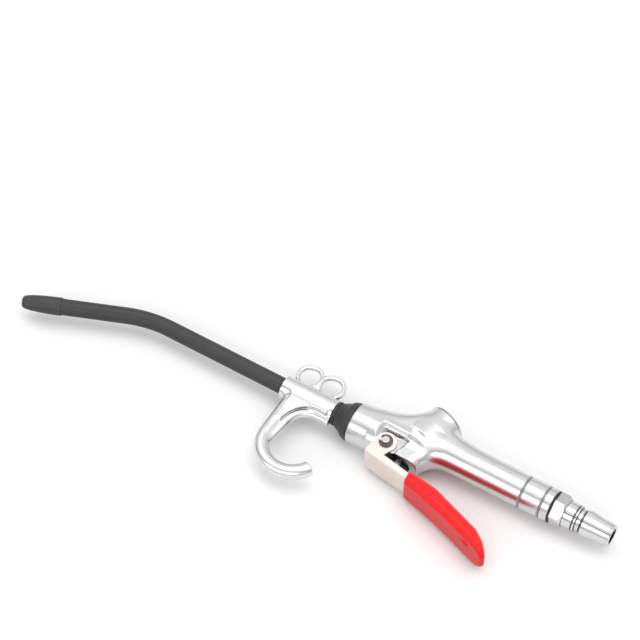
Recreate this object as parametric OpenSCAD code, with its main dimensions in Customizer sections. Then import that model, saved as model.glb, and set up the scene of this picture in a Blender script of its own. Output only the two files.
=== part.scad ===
// Hand-held air duster: an inlet plug, a cast body with a lever valve, a hanger and a bent wand.
// The handle's axis is X and the plug's tip face is at zero. The lever is on the +Y side.

/* [Inlet plug] */
// Bore through the plug
plug_bore_d = 7.5; // [6:0.1:8]
// Diameter of the tip face
plug_face_d = 10.2; // [9.6:0.1:10.6]
// Diameter at the small end of the nose taper
plug_tip_d = 11; // [10.8:0.1:12]
// Length of the chamfer at the tip
plug_chamfer_len = 0.6; // [0.4:0.1:1.2]
// Length of the nose taper
plug_taper_len = 11.3; // [9:0.1:13]
// Diameter of the straight nose
plug_nose_d = 12.8; // [12.4:0.1:13.2]
// Length of the straight nose
plug_nose_len = 2; // [1:0.1:4]
// Diameter in the locking groove
plug_lock_d = 10.3; // [9.8:0.1:10.8]
// Length of the locking groove at its mouth
plug_lock_len = 1; // [0.8:0.1:1.6]
// Diameter of the waist behind the groove
plug_waist_d = 11.2; // [10.9:0.1:12]
// Length of the waist
plug_waist_len = 2; // [1.4:0.1:3]
// Diameter of the collar behind the waist
plug_collar_d = 12.8; // [12.4:0.1:13.2]
// Length of the collar
plug_collar_len = 0.9; // [0.6:0.1:2]
// Diameter of the narrow neck behind the collar
plug_neck_d = 11.8; // [11:0.1:12.2]
// Length of the narrow neck
plug_neck_len = 0.6; // [0.4:0.1:1.2]
// Diameter of the shoulder
plug_shoulder_d = 12.8; // [12.4:0.1:13.2]
// Length of the shoulder
plug_shoulder_len = 4.6; // [3:0.1:7]
// Hexagon across its flats
plug_hex_af = 14; // [13.4:0.1:15]
// Length of the hexagon
plug_hex_len = 5.8; // [4:0.1:9]
// Turn of the hexagon about the axis, in degrees
plug_hex_turn = 19; // [0:1:59]
// Outside diameter of the plug's thread
plug_thread_d = 13; // [12:0.1:13.4]
// Length of the plug's thread
plug_thread_len = 10; // [6:0.5:16]

/* [Inlet seal] */
// Outside diameter of the seal ring
seal_d = 14.6; // [14:0.1:15]
// Thickness of the seal ring
seal_thick = 1.3; // [0.8:0.1:2]
// Depth of the recess that holds the seal ring
seal_recess = 0.4; // [0.2:0.1:0.6]

/* [Body] */
// Length of the body from its inlet end to the barrel's front face
body_len = 99.1; // [82:0.1:120]
// Diameter of the handle
handle_d = 16; // [15.8:0.1:18]
// Air passage through the handle
handle_bore_d = 8; // [6:0.1:8.6]
// Edge rounding at the handle's inlet end
handle_lip = 0.7; // [0.3:0.1:1]
// Distance from the inlet end to the first groove
groove_place = 4.2; // [3:0.1:7]
// Distance from the first groove to the second
groove_pitch = 10; // [6:0.5:14]
// Width of each groove
groove_w = 1.2; // [0.5:0.1:1.4]
// Depth of each groove
groove_depth = 0.5; // [0.2:0.1:0.6]
// Diameter of the barrel
barrel_d = 19.2; // [18.8:0.1:20.4]
// Distance from the handle's axis to the barrel's axis
barrel_offset = 7.8; // [7:0.1:8.6]
// Edge rounding at the barrel's front face
barrel_lip = 0.5; // [0.2:0.1:0.8]
// Air passage in the barrel
barrel_bore_d = 5.6; // [4:0.1:5.8]
// Thread that takes the wand's adapter
barrel_thread_d = 10; // [9:0.1:11]
// Depth of the barrel's thread
barrel_thread_len = 10; // [8:0.5:12]

/* [Valve housing] */
// Distance from the barrel's front face back to the valve's axis, on the handle's axis
valve_setback = 32.3; // [31.8:0.1:32.8]
// Lean of the valve's axis away from square, in degrees
valve_tilt = 16; // [15:0.5:17]
// Diameter of the valve housing
housing_d = 18.6; // [18.4:0.1:19]
// Length of the housing on the cap side
housing_back_len = 14; // [13.6:0.1:15]
// Length of the housing on the lever side
housing_front_len = 15.7; // [15.2:0.1:16.2]
// Diameter of the inlet chamber
chamber_d = 12; // [11.4:0.1:12.4]
// Distance from the handle's axis to the valve seat
seat_place = 4.2; // [3.8:0.1:4.6]
// Hole in the valve seat
seat_hole_d = 7; // [6.4:0.1:7.6]
// Thickness of the valve seat
seat_wall = 1; // [0.8:0.1:1.2]
// Diameter of the outlet chamber
outlet_d = 8.4; // [8:0.1:9]
// Length of the outlet chamber
outlet_len = 5.6; // [5.2:0.1:6]

/* [Lever pockets] */
// Half thickness of the body between the lever's ears
pocket_floor = 5.8; // [5.6:0.1:6]
// Distance from the barrel's front face back to the front wall of each pocket
pocket_setback = 13.9; // [13:0.1:14]
// Distance from the handle's axis to the pocket's wall, at its floor
pocket_wall = 6.5; // [6:0.1:7]
// Slope of the pocket's wall, measured across its height
pocket_slope = 1.6; // [0.6:0.1:2]
// Distance from the valve's axis to the pocket's rear wall
pocket_rear = 1.4; // [0.6:0.1:2.4]

/* [Valve parts] */
// Diameter of the cap's flange
cap_flange_d = 18; // [17:0.1:18.2]
// Thickness of the cap's flange
cap_flange_len = 0.8; // [0.6:0.1:2]
// Thread of the cap
cap_thread_d = 13.4; // [13:0.1:13.8]
// Length of the cap's thread
cap_thread_len = 7; // [6:0.1:7.6]
// Pocket in the cap that holds the spring
cap_pocket_d = 9.4; // [9:0.1:9.8]
// Depth of the spring pocket
cap_pocket_len = 4; // [3:0.1:4.6]
// Width of the driver slot in the cap
cap_slot_w = 1.4; // [1:0.1:2]
// Depth of the driver slot in the cap
cap_slot_depth = 0.7; // [0.4:0.1:1]
// Section of the cap's sealing ring
cap_ring_w = 1.2; // [1:0.1:1.4]
// Diameter of the push rod
rod_d = 4; // [3.6:0.1:4.2]
// Diameter of the poppet
poppet_d = 10.4; // [10:0.1:10.8]
// Thickness of the poppet
poppet_len = 2.6; // [2:0.1:3]
// Diameter of the poppet's tail
poppet_tail_d = 4.6; // [4:0.1:5.2]
// Length of the poppet's tail
poppet_tail_len = 3.6; // [2:0.1:4]
// Diameter of the poppet's seal
poppet_seal_d = 9.8; // [9.2:0.1:10]
// Thickness of the poppet's seal
poppet_seal_len = 1.6; // [1.2:0.1:2]
// Wire of the valve spring
spring_wire_d = 0.9; // [0.7:0.1:1]
// Mean diameter of the valve spring
spring_d = 7.6; // [7.4:0.1:8]
// Curls of the valve spring
spring_curls = 5; // [4:1:6]
// Outside diameter of the gland nut
gland_d = 12; // [11.4:0.1:12.6]
// Section of the rod's sealing ring
rod_ring_w = 1.7; // [1.4:0.1:2]
// Width of the spanner slots in the gland nut
gland_slot_w = 1.6; // [1:0.1:2]
// Depth of the spanner slots in the gland nut
gland_slot_depth = 1.1; // [0.6:0.1:1.6]

/* [Lever] */
// Distance from the barrel's front face back to the hinge pin
pin_setback = 19.5; // [19.2:0.1:19.8]
// Distance from the handle's axis to the hinge pin
pin_offset = 13.4; // [13.2:0.1:13.8]
// Diameter of the hinge pin
pin_d = 3.6; // [3:0.1:3.8]
// Diameter of the pin's head
pin_head_d = 6.6; // [5.6:0.1:7]
// Thickness of the pin's head
pin_head_len = 1.1; // [0.8:0.1:1.6]
// Length of the pin past its clip
pin_tail_len = 1; // [0.6:0.1:1.4]
// Outside diameter of the pin's clip
clip_d = 6.6; // [5.6:0.1:7]
// Thickness of the pin's clip
clip_len = 0.6; // [0.5:0.1:0.8]
// Depth of the groove that holds the clip
clip_groove = 0.5; // [0.4:0.1:0.6]
// Width of the lever over its flanges
lever_w = 14.6; // [14.4:0.1:15]
// Thickness of the lever's sheet
lever_t = 1.3; // [1.1:0.1:1.4]
// Radius of the ears round the pin
ear_r = 5.2; // [4.6:0.1:5.3]
// Distance from the pin to the lever's front edge, along the body
lever_front = 7; // [6:0.1:8]
// Distance from the pin to the lever's outer face at its front edge
lever_rise = 8.8; // [8.6:0.1:9.4]
// Distance from the pin to the bend in the lever, along the body
lever_bend = 24.7; // [22:0.1:27]
// Slope of the lever ahead of its bend, in degrees
lever_slope = 8.6; // [8:0.2:10]
// Distance from the pin to the tail of the lever, along the body
lever_tail = 66.2; // [56:0.1:68]
// Slope of the lever behind its bend, in degrees
lever_tail_slope = 19.7; // [17:0.1:22]
// Height of the flanges beside the valve
flange_h = 3.2; // [2.6:0.1:3.4]
// Height of the flanges inside the grip
flange_tail_h = 5.1; // [4.6:0.1:6]
// Corner radius at the lever's tail
tail_r = 5.6; // [4:0.1:6]

/* [Grip] */
// Thickness of the grip's skin
grip_t = 1.1; // [0.8:0.1:1.4]
// Distance from the pin to the grip's mouth, along the body
grip_mouth = 17.6; // [16.5:0.1:20]
// Edge rounding of the grip
grip_round = 1.6; // [1.2:0.1:2.2]

/* [Boot] */
// Diameter of the boot's band
boot_d = 18.9; // [18:0.1:20]
// Length of the boot
boot_len = 10.4; // [9:0.1:12]
// Length of the boot's band
boot_band_len = 2.2; // [1.6:0.1:3]
// Diameter of the boot's neck
boot_neck_d = 10.4; // [10:0.1:11.4]
// Diameter of the bead at the boot's mouth
boot_bead_d = 11.2; // [10.6:0.1:11.6]
// Length of the bead
boot_bead_len = 1.4; // [1:0.1:1.8]

/* [Wand] */
// Outside diameter of the steel tube
tube_d = 6; // [5.6:0.1:6.4]
// Bore of the steel tube
tube_bore_d = 4; // [3:0.1:4.6]
// Outside diameter of the black sleeve on the tube
wand_d = 8; // [7.6:0.1:8.6]
// Distance from the barrel's front face to the corner of the bend
wand_bend_place = 114.3; // [90:0.5:130]
// Angle of the bend, in degrees
wand_bend = 22.1; // [15:0.1:30]
// Radius of the bend
wand_bend_r = 60; // [40:1:70]
// Distance from the corner of the bend to the nozzle tip
wand_reach = 43; // [32:0.5:60]
// Diameter of the adapter's collar
adapter_d = 12; // [11:0.1:13]
// Length of the adapter's collar
adapter_len = 3.6; // [3:0.1:4.4]
// Outside diameter of the adapter's washer
washer_d = 13; // [12.4:0.1:14]
// Thickness of the adapter's washer
washer_t = 0.8; // [0.6:0.1:1]

/* [Nozzle tip] */
// Length of the tip
tip_len = 19.5; // [16:0.5:24]
// Diameter of the tip where it meets the sleeve
tip_d = 8.8; // [8.4:0.1:9.2]
// Diameter of the tip's front face
tip_face_d = 5.2; // [4.6:0.1:6]
// Hole in the tip
tip_hole_d = 3; // [2:0.1:4]
// Length of the tip ahead of the steel tube
tip_nose_len = 5; // [3:0.1:6]

/* [Hanger] */
// Outside diameter of the hanger's sleeve
hanger_d = 11.6; // [11:0.1:12.4]
// Length of the hanger's sleeve
hanger_len = 28; // [27:0.5:32]
// Diameter of the hook's rod
hook_rod_d = 7.2; // [6:0.1:7.6]
// Radius of the hook along the middle of its rod
hook_r = 14.4; // [13.6:0.1:15.6]
// Distance from the wand's axis to the hook's centre
hook_drop = 25.8; // [25:0.1:28]
// Distance from the sleeve's front end to the middle of the stem
stem_place = 6.3; // [4.6:0.1:6.8]
// Sweep of the hook past its stem, in degrees
hook_sweep = 148; // [120:1:165]
// Radius of the gusset between the sleeve and the stem
gusset_r = 9.8; // [8:0.1:10.4]
// Inside diameter of each hanging eye
eye_d = 9.5; // [8:0.1:10]
// Width of the wall round each eye
eye_wall = 2.1; // [1.6:0.1:2.4]
// Thickness of the eyes
eye_t = 3.6; // [3:0.1:4.4]
// Edge rounding of the eyes
eye_round = 0.7; // [0.4:0.1:0.8]
// Distance from the sleeve's front end to the middle of the front eye
eye_place = 7.3; // [7:0.1:8]

/* [Fits] */
// Radial clearance of parts that turn or slide
run_fit = 0.05; // [0.02:0.01:0.08]
// Clearance between parts that are fixed together
seat_fit = 0.02; // [0.01:0.01:0.04]
// Gap between the closed seal and its seat, and between the rod and the lever
touch_gap = 0.1; // [0.05:0.01:0.2]

/* [Hidden] */
$fn = 64;
overrun = 1;

// Places along the handle's axis
plug_len = plug_chamfer_len + plug_taper_len + plug_nose_len + plug_lock_len + plug_waist_len
         + plug_collar_len + plug_neck_len + plug_shoulder_len + plug_hex_len;
body_x = plug_len + seal_thick - seal_recess;
front_x = body_x + body_len;
valve_x = front_x - valve_setback;
pin_x = front_x - pin_setback;

// Places along the valve's axis, from the handle's axis
chamber_top = -housing_back_len + cap_thread_len;
seat_top = seat_place + seat_wall;
outlet_top = seat_top + outlet_len;
gland_len = housing_front_len - outlet_top;
poppet_front = seat_place - touch_gap - poppet_seal_len;
poppet_back = poppet_front - poppet_len;
spring_foot = chamber_top - cap_pocket_len;

// Places on the wand, from the barrel's front face
boot_end = front_x + boot_len;
hanger_back = boot_end + touch_gap;
hanger_front = hanger_back + hanger_len;
sleeve_start = front_x + washer_t + adapter_len;
bend_tangent = wand_bend_r * tan(wand_bend / 2);
bend_start = front_x + wand_bend_place - bend_tangent;

// Lays a shape that stands on Z along the handle's axis, starting at a place on it
module along_handle(place) {
    translate([place, 0, 0]) rotate([0, 90, 0]) children();
}

// Lays a shape that stands on Z along the barrel's axis
module along_barrel(place) {
    translate([0, barrel_offset, 0]) along_handle(place) children();
}

// Lays a shape that stands on Z along the valve's axis, which points towards the lever
module along_valve(place) {
    translate([valve_x, 0, 0]) rotate([0, 0, -valve_tilt]) rotate([-90, 0, 0])
        translate([0, 0, place]) children();
}

// A round bar with a hole
module tube(outer_d, inner_d, len) {
    difference() {
        cylinder(d = outer_d, h = len);
        translate([0, 0, -overrun]) cylinder(d = inner_d, h = len + 2 * overrun);
    }
}

// A ring with a rounded section, standing on Z
module ring(inner_d, section) {
    translate([0, 0, section / 2]) rotate_extrude()
        translate([inner_d / 2 + section / 2, 0]) circle(d = section, $fn = 24);
}

// A slice across the body at a place on X: two arcs of one radius joined by straight sides
slice_sides = 36;
function slice(x, top, bottom, radius) = [
    for (k = [0 : slice_sides - 1])
        let (a = 360 * k / slice_sides)
        [x, (cos(a) > 0 ? top + radius : bottom - radius) - radius * cos(a), radius * sin(a)]
];

// A solid skinned over a row of slices
module skin(slices) {
    count = len(slices);
    last = (count - 1) * slice_sides;
    sides = [
        for (j = [0 : count - 2], k = [0 : slice_sides - 1])
            let (a = j * slice_sides + k, b = j * slice_sides + (k + 1) % slice_sides)
            each [[a, b, a + slice_sides], [b, b + slice_sides, a + slice_sides]]
    ];
    start_cap = [for (k = [1 : slice_sides - 2]) [0, k + 1, k]];
    end_cap = [for (k = [1 : slice_sides - 2]) [last, last + k, last + k + 1]];
    polyhedron(concat([for (s = slices) each s]), concat(sides, start_cap, end_cap));
}

function mix(a, b, share) = a + (b - a) * share;

module inlet_plug() {
    nose_start = plug_chamfer_len + plug_taper_len;
    lock_start = nose_start + plug_nose_len;
    lock_end = lock_start + plug_lock_len;
    waist_end = lock_end + plug_waist_len;
    neck_start = waist_end + plug_collar_len;
    neck_end = neck_start + plug_neck_len;
    hex_start = neck_end + plug_shoulder_len;
    lock_slope = plug_lock_len / 5;
    hex_corner_d = plug_hex_af / cos(30);
    hex_face_r = plug_hex_af * 0.48;
    hex_out_r = hex_corner_d / 2 + overrun;
    hex_chamfer = hex_out_r - hex_face_r;
    color("gainsboro") along_handle(0) difference() {
        union() {
            rotate_extrude() polygon([
                [0, 0], [plug_face_d / 2, 0],
                [plug_tip_d / 2, plug_chamfer_len],
                [plug_nose_d / 2, nose_start], [plug_nose_d / 2, lock_start],
                [plug_lock_d / 2, lock_start + lock_slope], [plug_lock_d / 2, lock_end - lock_slope],
                [plug_waist_d / 2, lock_end], [plug_waist_d / 2, waist_end],
                [plug_collar_d / 2, waist_end], [plug_collar_d / 2, neck_start],
                [plug_neck_d / 2, neck_start], [plug_neck_d / 2, neck_end],
                [plug_shoulder_d / 2, neck_end], [plug_shoulder_d / 2, plug_len],
                [plug_thread_d / 2 - seat_fit, plug_len],
                [plug_thread_d / 2 - seat_fit, plug_len + plug_thread_len],
                [0, plug_len + plug_thread_len]
            ]);
            intersection() {
                translate([0, 0, hex_start]) rotate(90 + plug_hex_turn)
                    cylinder(d = hex_corner_d, h = plug_hex_len, $fn = 6);
                rotate_extrude() polygon([
                    [0, hex_start], [hex_face_r, hex_start], [hex_out_r, hex_start + hex_chamfer],
                    [hex_out_r, plug_len], [0, plug_len]
                ]);
            }
        }
        translate([0, 0, -overrun]) cylinder(d = plug_bore_d, h = plug_len + plug_thread_len + 2 * overrun);
    }
}

module inlet_seal() {
    color("black") along_handle(plug_len) tube(seal_d - 2 * seat_fit, plug_thread_d + 2 * seat_fit, seal_thick);
}

// The cast swell between handle, housing and barrel
swell_inset = 3 * touch_gap;
cap_height = housing_back_len * cos(valve_tilt);
// Shares of the way from the swell's start to the valve: place, top, bottom and width
rear_shares = [
    [0.16, 0.1, 0, 0], [0.3, 0.2, 0, 0.02], [0.43, 0.3, 0.03, 0.13], [0.55, 0.45, 0.08, 0.33],
    [0.65, 0.61, 0.3, 0.6], [0.75, 0.77, 0.7, 0.8], [0.9, 0.96, 0.88, 0.93], [1, 1.03, 0.95, 1]
];
// Shares of the way from the valve to the barrel's front face: place, top and bottom
front_shares = [
    [0.07, 1.03, 0.1], [0.16, 0.99, 0.15], [0.22, 0.83, 0.2], [0.28, 0.68, 0.22], [0.37, 0.51, 0.26],
    [0.5, 0.34, 0.4], [0.62, 0.2, 0.6], [0.78, 0.07, 0.8], [0.93, -0.03, 0.95]
];

module swell() {
    start_x = valve_x - housing_d * 1.6;
    side_r = barrel_d / 2 - touch_gap;
    belly = housing_front_len * 0.8;
    barrel_top = barrel_d / 2 - barrel_offset;
    barrel_bottom = barrel_offset + barrel_d / 2 - 2 * swell_inset;
    skin(concat(
        [slice(start_x, swell_inset - handle_d / 2, handle_d / 2 - swell_inset, handle_d / 2 - swell_inset)],
        [for (s = rear_shares)
            slice(mix(start_x, valve_x, s[0]), -mix(handle_d / 2, cap_height, s[1]),
                mix(handle_d / 2 - touch_gap, belly, s[2]), mix(handle_d / 2 - touch_gap, side_r, s[3]))],
        [for (s = front_shares)
            slice(mix(valve_x, front_x, s[0]), -mix(barrel_top, cap_height, s[1]),
                mix(belly, barrel_bottom, s[2]), side_r)]
    ));
}

module pocket() {
    deep = barrel_offset + barrel_d;
    high = barrel_d;
    intersection() {
        translate([valve_x, 0, 0]) rotate([90, 0, 90]) linear_extrude(valve_setback - pocket_setback) polygon([
            [pocket_wall, pocket_floor], [pocket_wall - pocket_slope, barrel_d / 2],
            [pocket_wall - pocket_slope, high], [deep, high], [deep, pocket_floor]
        ]);
        translate([valve_x, 0, 0]) rotate(-valve_tilt)
            translate([pocket_rear, -deep, 0]) cube([body_len, 2 * deep, high]);
    }
}

module body() {
    r = handle_d / 2;
    barrel_r = barrel_d / 2;
    handle_len = valve_x - body_x;
    barrel_len = front_x - valve_x - housing_d / 4;
    color("silver") difference() {
        union() {
            along_handle(body_x) rotate_extrude() polygon([
                [0, 0], [r - handle_lip, 0], [r - handle_lip / 3, handle_lip / 3], [r, handle_lip],
                for (p = [groove_place, groove_place + groove_pitch]) each [
                    [r, p - groove_w / 2], [r - groove_depth, p], [r, p + groove_w / 2]
                ],
                [r, handle_len], [0, handle_len]
            ]);
            along_barrel(front_x - barrel_len) rotate_extrude() polygon([
                [0, 0], [barrel_r, 0], [barrel_r, barrel_len - barrel_lip],
                [barrel_r - barrel_lip, barrel_len], [0, barrel_len]
            ]);
            along_valve(-housing_back_len) cylinder(d = housing_d, h = housing_back_len + housing_front_len);
            swell();
        }
        pocket();
        mirror([0, 0, 1]) pocket();
        along_handle(body_x - overrun) cylinder(d = seal_d, h = seal_recess + overrun);
        along_handle(body_x) cylinder(d = plug_thread_d, h = plug_thread_len + seal_thick);
        along_handle(body_x) cylinder(d = handle_bore_d, h = handle_len);
        along_barrel(front_x - barrel_thread_len) cylinder(d = barrel_thread_d, h = barrel_thread_len + overrun);
        along_barrel(valve_x + seat_top * sin(valve_tilt))
            cylinder(d = barrel_bore_d, h = front_x - valve_x - barrel_thread_len);
        along_valve(chamber_top) cylinder(d = chamber_d, h = seat_place - chamber_top);
        along_valve(-housing_back_len - overrun) cylinder(d = cap_thread_d, h = cap_thread_len + overrun);
        along_valve(-housing_back_len - overrun)
            cylinder(d = cap_thread_d + 2 * cap_ring_w + 2 * touch_gap, h = cap_ring_w + overrun);
        along_valve(0) cylinder(d = seat_hole_d, h = outlet_top);
        along_valve(seat_top) cylinder(d = outlet_d, h = outlet_len + seat_fit);
        along_valve(outlet_top) cylinder(d = gland_d, h = gland_len + handle_d);
        translate([pin_x, pin_offset, -barrel_d]) cylinder(d = pin_d + 2 * seat_fit, h = 2 * barrel_d);
    }
}

module valve_cap() {
    thread_r = cap_thread_d / 2 - seat_fit;
    outer = cap_flange_len + cap_thread_len;
    color("silver") along_valve(-housing_back_len - cap_flange_len) difference() {
        rotate_extrude() polygon([
            [0, 0], [cap_flange_d / 2 - cap_flange_len / 2, 0], [cap_flange_d / 2, cap_flange_len / 2],
            [cap_flange_d / 2, cap_flange_len], [thread_r, cap_flange_len], [thread_r, outer],
            [cap_pocket_d / 2, outer], [cap_pocket_d / 2, outer - cap_pocket_len],
            [0, outer - cap_pocket_len]
        ]);
        translate([-cap_thread_d / 2, -cap_slot_w / 2, -overrun])
            cube([cap_thread_d, cap_slot_w, cap_slot_depth + overrun]);
    }
}

module cap_ring() {
    color("black") along_valve(-housing_back_len) ring(cap_thread_d, cap_ring_w);
}

// The spring's wire runs flat for a third of a curl at each end
spring_rings = 8;
spring_sides = 6;
spring_len = poppet_back - spring_foot - spring_wire_d - 2 * seat_fit;
spring_steps = spring_curls * spring_rings;
function spring_rise(turn) = min(1, max(0, (turn - 0.35) / (spring_curls - 0.7)));
function spring_centre(i) =
    let (a = 360 * i / spring_rings)
    [spring_d / 2 * cos(a), spring_d / 2 * sin(a), spring_len * spring_rise(i / spring_rings)];
spring_gaps = [for (i = [spring_rings : spring_steps])
    norm(spring_centre(i) - spring_centre(i - spring_rings)) - spring_wire_d];
echo(least_gap_between_full_curls = min([for (i = [4 : len(spring_gaps) - 4]) spring_gaps[i]]));

module valve_spring() {
    points = [
        for (i = [0 : spring_steps], k = [0 : spring_sides - 1])
            let (turn = 360 * i / spring_rings, a = 360 * k / spring_sides, c = spring_centre(i),
                out = spring_d / 2 + spring_wire_d / 2 * cos(a))
            [out * cos(turn), out * sin(turn), c[2] + spring_wire_d / 2 * sin(a)]
    ];
    last = spring_steps * spring_sides;
    sides = [
        for (i = [0 : spring_steps - 1], k = [0 : spring_sides - 1])
            let (a = i * spring_sides + k, b = i * spring_sides + (k + 1) % spring_sides)
            each [[a, a + spring_sides, b], [b, a + spring_sides, b + spring_sides]]
    ];
    ends = [for (k = [1 : spring_sides - 2]) each [[0, k, k + 1], [last, last + k + 1, last + k]]];
    color("lightsteelblue") along_valve(spring_foot + spring_wire_d / 2 + seat_fit)
        polyhedron(points, concat(sides, ends));
}

module poppet() {
    color("darkgoldenrod") along_valve(poppet_back - poppet_tail_len) union() {
        cylinder(d = poppet_tail_d, h = poppet_tail_len + seat_fit);
        translate([0, 0, poppet_tail_len]) cylinder(d = poppet_d, h = poppet_len);
    }
}

module poppet_seal() {
    color("black") along_valve(poppet_front) tube(poppet_seal_d, rod_d + 2 * seat_fit, poppet_seal_len);
}

// Where the rod's axis meets the lever's inner face
lever_face_y = pin_offset + lever_rise - lever_t / cos(lever_slope);
rod_meets = (lever_face_y + (pin_x + lever_front - valve_x) * tan(lever_slope))
          / (cos(valve_tilt) + sin(valve_tilt) * tan(lever_slope));
rod_dome = rod_meets - rod_d / 2 / cos(valve_tilt - lever_slope) - touch_gap;

module push_rod() {
    color("lightgray") along_valve(poppet_front) {
        cylinder(d = rod_d, h = rod_dome - poppet_front);
        translate([0, 0, rod_dome - poppet_front]) sphere(d = rod_d);
    }
}

module rod_ring() {
    color("black") along_valve(outlet_top + seat_fit) ring(rod_d + 2 * seat_fit, rod_ring_w);
}

module gland_nut() {
    color("dimgray") along_valve(outlet_top) difference() {
        cylinder(d = gland_d - 2 * seat_fit, h = gland_len);
        translate([0, 0, -overrun]) cylinder(d = rod_d + 2 * run_fit, h = gland_len + 2 * overrun);
        translate([0, 0, -overrun])
            cylinder(d = rod_d + 2 * rod_ring_w + 4 * touch_gap, h = rod_ring_w + touch_gap + overrun);
        translate([-gland_d, -gland_slot_w / 2, gland_len - gland_slot_depth])
            cube([2 * gland_d, gland_slot_w, gland_slot_depth + overrun]);
    }
}

// The lever's outer face, seen along the pin: front edge, bend and tail
lever_a = [pin_x + lever_front, pin_offset + lever_rise];
lever_b = [pin_x - lever_bend, lever_a[1] + (lever_front + lever_bend) * tan(lever_slope)];
lever_c = [pin_x - lever_tail, lever_b[1] + (lever_tail - lever_bend) * tan(lever_tail_slope)];
mouth_x = pin_x - grip_mouth;

// The outer face's height over the handle's axis at a place on X
function lever_y(x) = x > lever_b[0]
    ? lever_a[1] + (lever_a[0] - x) * tan(lever_slope)
    : lever_b[1] + (lever_b[0] - x) * tan(lever_tail_slope);

// Flange heights inside the grip, as shares of the way to the tail and of the full height
flange_shares = [[0.18, 0.8], [0.3, 1], [0.81, 1], [0.93, 0.62], [1, 0.3]];
function flange_edge(extra) = [
    for (k = [len(flange_shares) - 1 : -1 : 0])
        let (s = flange_shares[k], x = mix(mouth_x, lever_c[0], s[0]))
        [x, lever_y(x) - (s[1] * flange_tail_h + extra) / cos(lever_tail_slope)]
];

// The lever's plan: a strip whose tail has round corners
module tail_plan(tail_x, width, corner_r) {
    front = lever_a[0] + overrun;
    rotate([90, 0, 0]) linear_extrude(4 * lever_tail, center = true) union() {
        translate([tail_x + corner_r, -width / 2]) square([front - tail_x - corner_r, width]);
        translate([tail_x, corner_r - width / 2]) square([corner_r + overrun, width - 2 * corner_r]);
        for (side = [-1, 1]) translate([tail_x + corner_r, side * (width / 2 - corner_r)])
            circle(r = corner_r);
    }
}

module lever() {
    sheet = lever_t / cos(lever_slope);
    notch = [pin_x - ear_r * 0.54, lever_y(pin_x) - flange_h];
    color("rosybrown") intersection() {
        difference() {
            union() {
                for (side = [0, 1]) mirror([0, 0, side])
                    translate([0, 0, lever_w / 2 - lever_t]) linear_extrude(lever_t) union() {
                        translate([pin_x, pin_offset]) circle(r = ear_r);
                        polygon(concat(
                            [lever_a, lever_b, lever_c], flange_edge(0),
                            [[mouth_x, lever_y(mouth_x) - flange_h], notch,
                             [pin_x - ear_r, pin_offset + ear_r / 5], [pin_x + ear_r, pin_offset]]
                        ));
                    }
                linear_extrude(lever_w, center = true) polygon([
                    lever_a, lever_b, lever_c, lever_c - [0, sheet], lever_b - [0, sheet],
                    lever_a - [lever_t / 5, sheet]
                ]);
            }
            translate([pin_x, pin_offset, -lever_w]) cylinder(d = pin_d + 2 * run_fit, h = 2 * lever_w);
        }
        tail_plan(lever_c[0], lever_w, tail_r);
    }
}

module lever_grip() {
    out = grip_t / cos(lever_tail_slope);
    gap = seat_fit / cos(lever_tail_slope);
    outer_w = lever_w + 2 * grip_t;
    tail_x = lever_c[0] - grip_t;
    color("red") difference() {
        intersection() {
            linear_extrude(outer_w, center = true) polygon(concat(
                [[mouth_x, lever_y(mouth_x) + out], lever_b + [0, out], [tail_x, lever_y(tail_x) + out],
                 [tail_x, lever_y(tail_x) - flange_tail_h / 4]],
                flange_edge(grip_t),
                [[mouth_x, lever_y(mouth_x) - flange_h - grip_t]]
            ));
            tail_plan(tail_x, outer_w, tail_r + grip_t);
        }
        intersection() {
            linear_extrude(lever_w + 2 * seat_fit, center = true) polygon(concat(
                [[mouth_x + overrun, lever_y(mouth_x + overrun) + gap], lever_b + [0, gap],
                 [lever_c[0], lever_c[1] + gap]],
                flange_edge(seat_fit),
                [[mouth_x, lever_y(mouth_x) - flange_h - seat_fit],
                 [mouth_x + overrun, lever_y(mouth_x) - flange_h - seat_fit]]
            ));
            tail_plan(lever_c[0] - seat_fit, lever_w + 2 * seat_fit, tail_r);
        }
    }
}

// The pin's head bears on one ear, and the clip in its groove bears on the other
pin_seat = lever_w / 2 + touch_gap;
module lever_pin() {
    clip_start = pin_seat + touch_gap / 2;
    pin_end = clip_start + clip_len + pin_tail_len;
    color("whitesmoke") translate([pin_x, pin_offset, 0]) rotate_extrude() polygon([
        [0, -pin_seat - pin_head_len], [pin_head_d / 2 - pin_head_len / 2, -pin_seat - pin_head_len],
        [pin_head_d / 2, -pin_seat - pin_head_len / 2], [pin_head_d / 2, -pin_seat], [pin_d / 2, -pin_seat],
        [pin_d / 2, clip_start], [pin_d / 2 - clip_groove, clip_start],
        [pin_d / 2 - clip_groove, clip_start + clip_len], [pin_d / 2, clip_start + clip_len],
        [pin_d / 2, pin_end - pin_tail_len / 2], [pin_d / 2 - pin_tail_len / 2, pin_end], [0, pin_end]
    ]);
}

module pin_clip() {
    inner_d = pin_d - 2 * clip_groove + 2 * seat_fit;
    thin = clip_len - 2 * seat_fit;
    color("dimgray") translate([pin_x, pin_offset, pin_seat + touch_gap / 2 + seat_fit]) difference() {
        tube(clip_d, inner_d, thin);
        translate([0, -inner_d / 2 + clip_groove / 2, -overrun])
            cube([clip_d, inner_d - clip_groove, thin + 2 * overrun]);
    }
}

module adapter_washer() {
    color("black") along_barrel(front_x) tube(washer_d, barrel_thread_d + 2 * touch_gap, washer_t);
}

module wand_adapter() {
    inside = barrel_thread_len - touch_gap;
    tube_seat = inside * 0.6;
    thread_r = barrel_thread_d / 2 - seat_fit;
    hole_r = tube_d / 2 + seat_fit;
    collar = inside + washer_t;
    color("darkgoldenrod") along_barrel(front_x - inside) rotate_extrude() polygon([
        [tube_bore_d / 2, 0], [thread_r, 0], [thread_r, collar], [adapter_d / 2, collar],
        [adapter_d / 2, collar + adapter_len], [hole_r, collar + adapter_len],
        [hole_r, inside - tube_seat], [tube_bore_d / 2, inside - tube_seat]
    ]);
}

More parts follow.
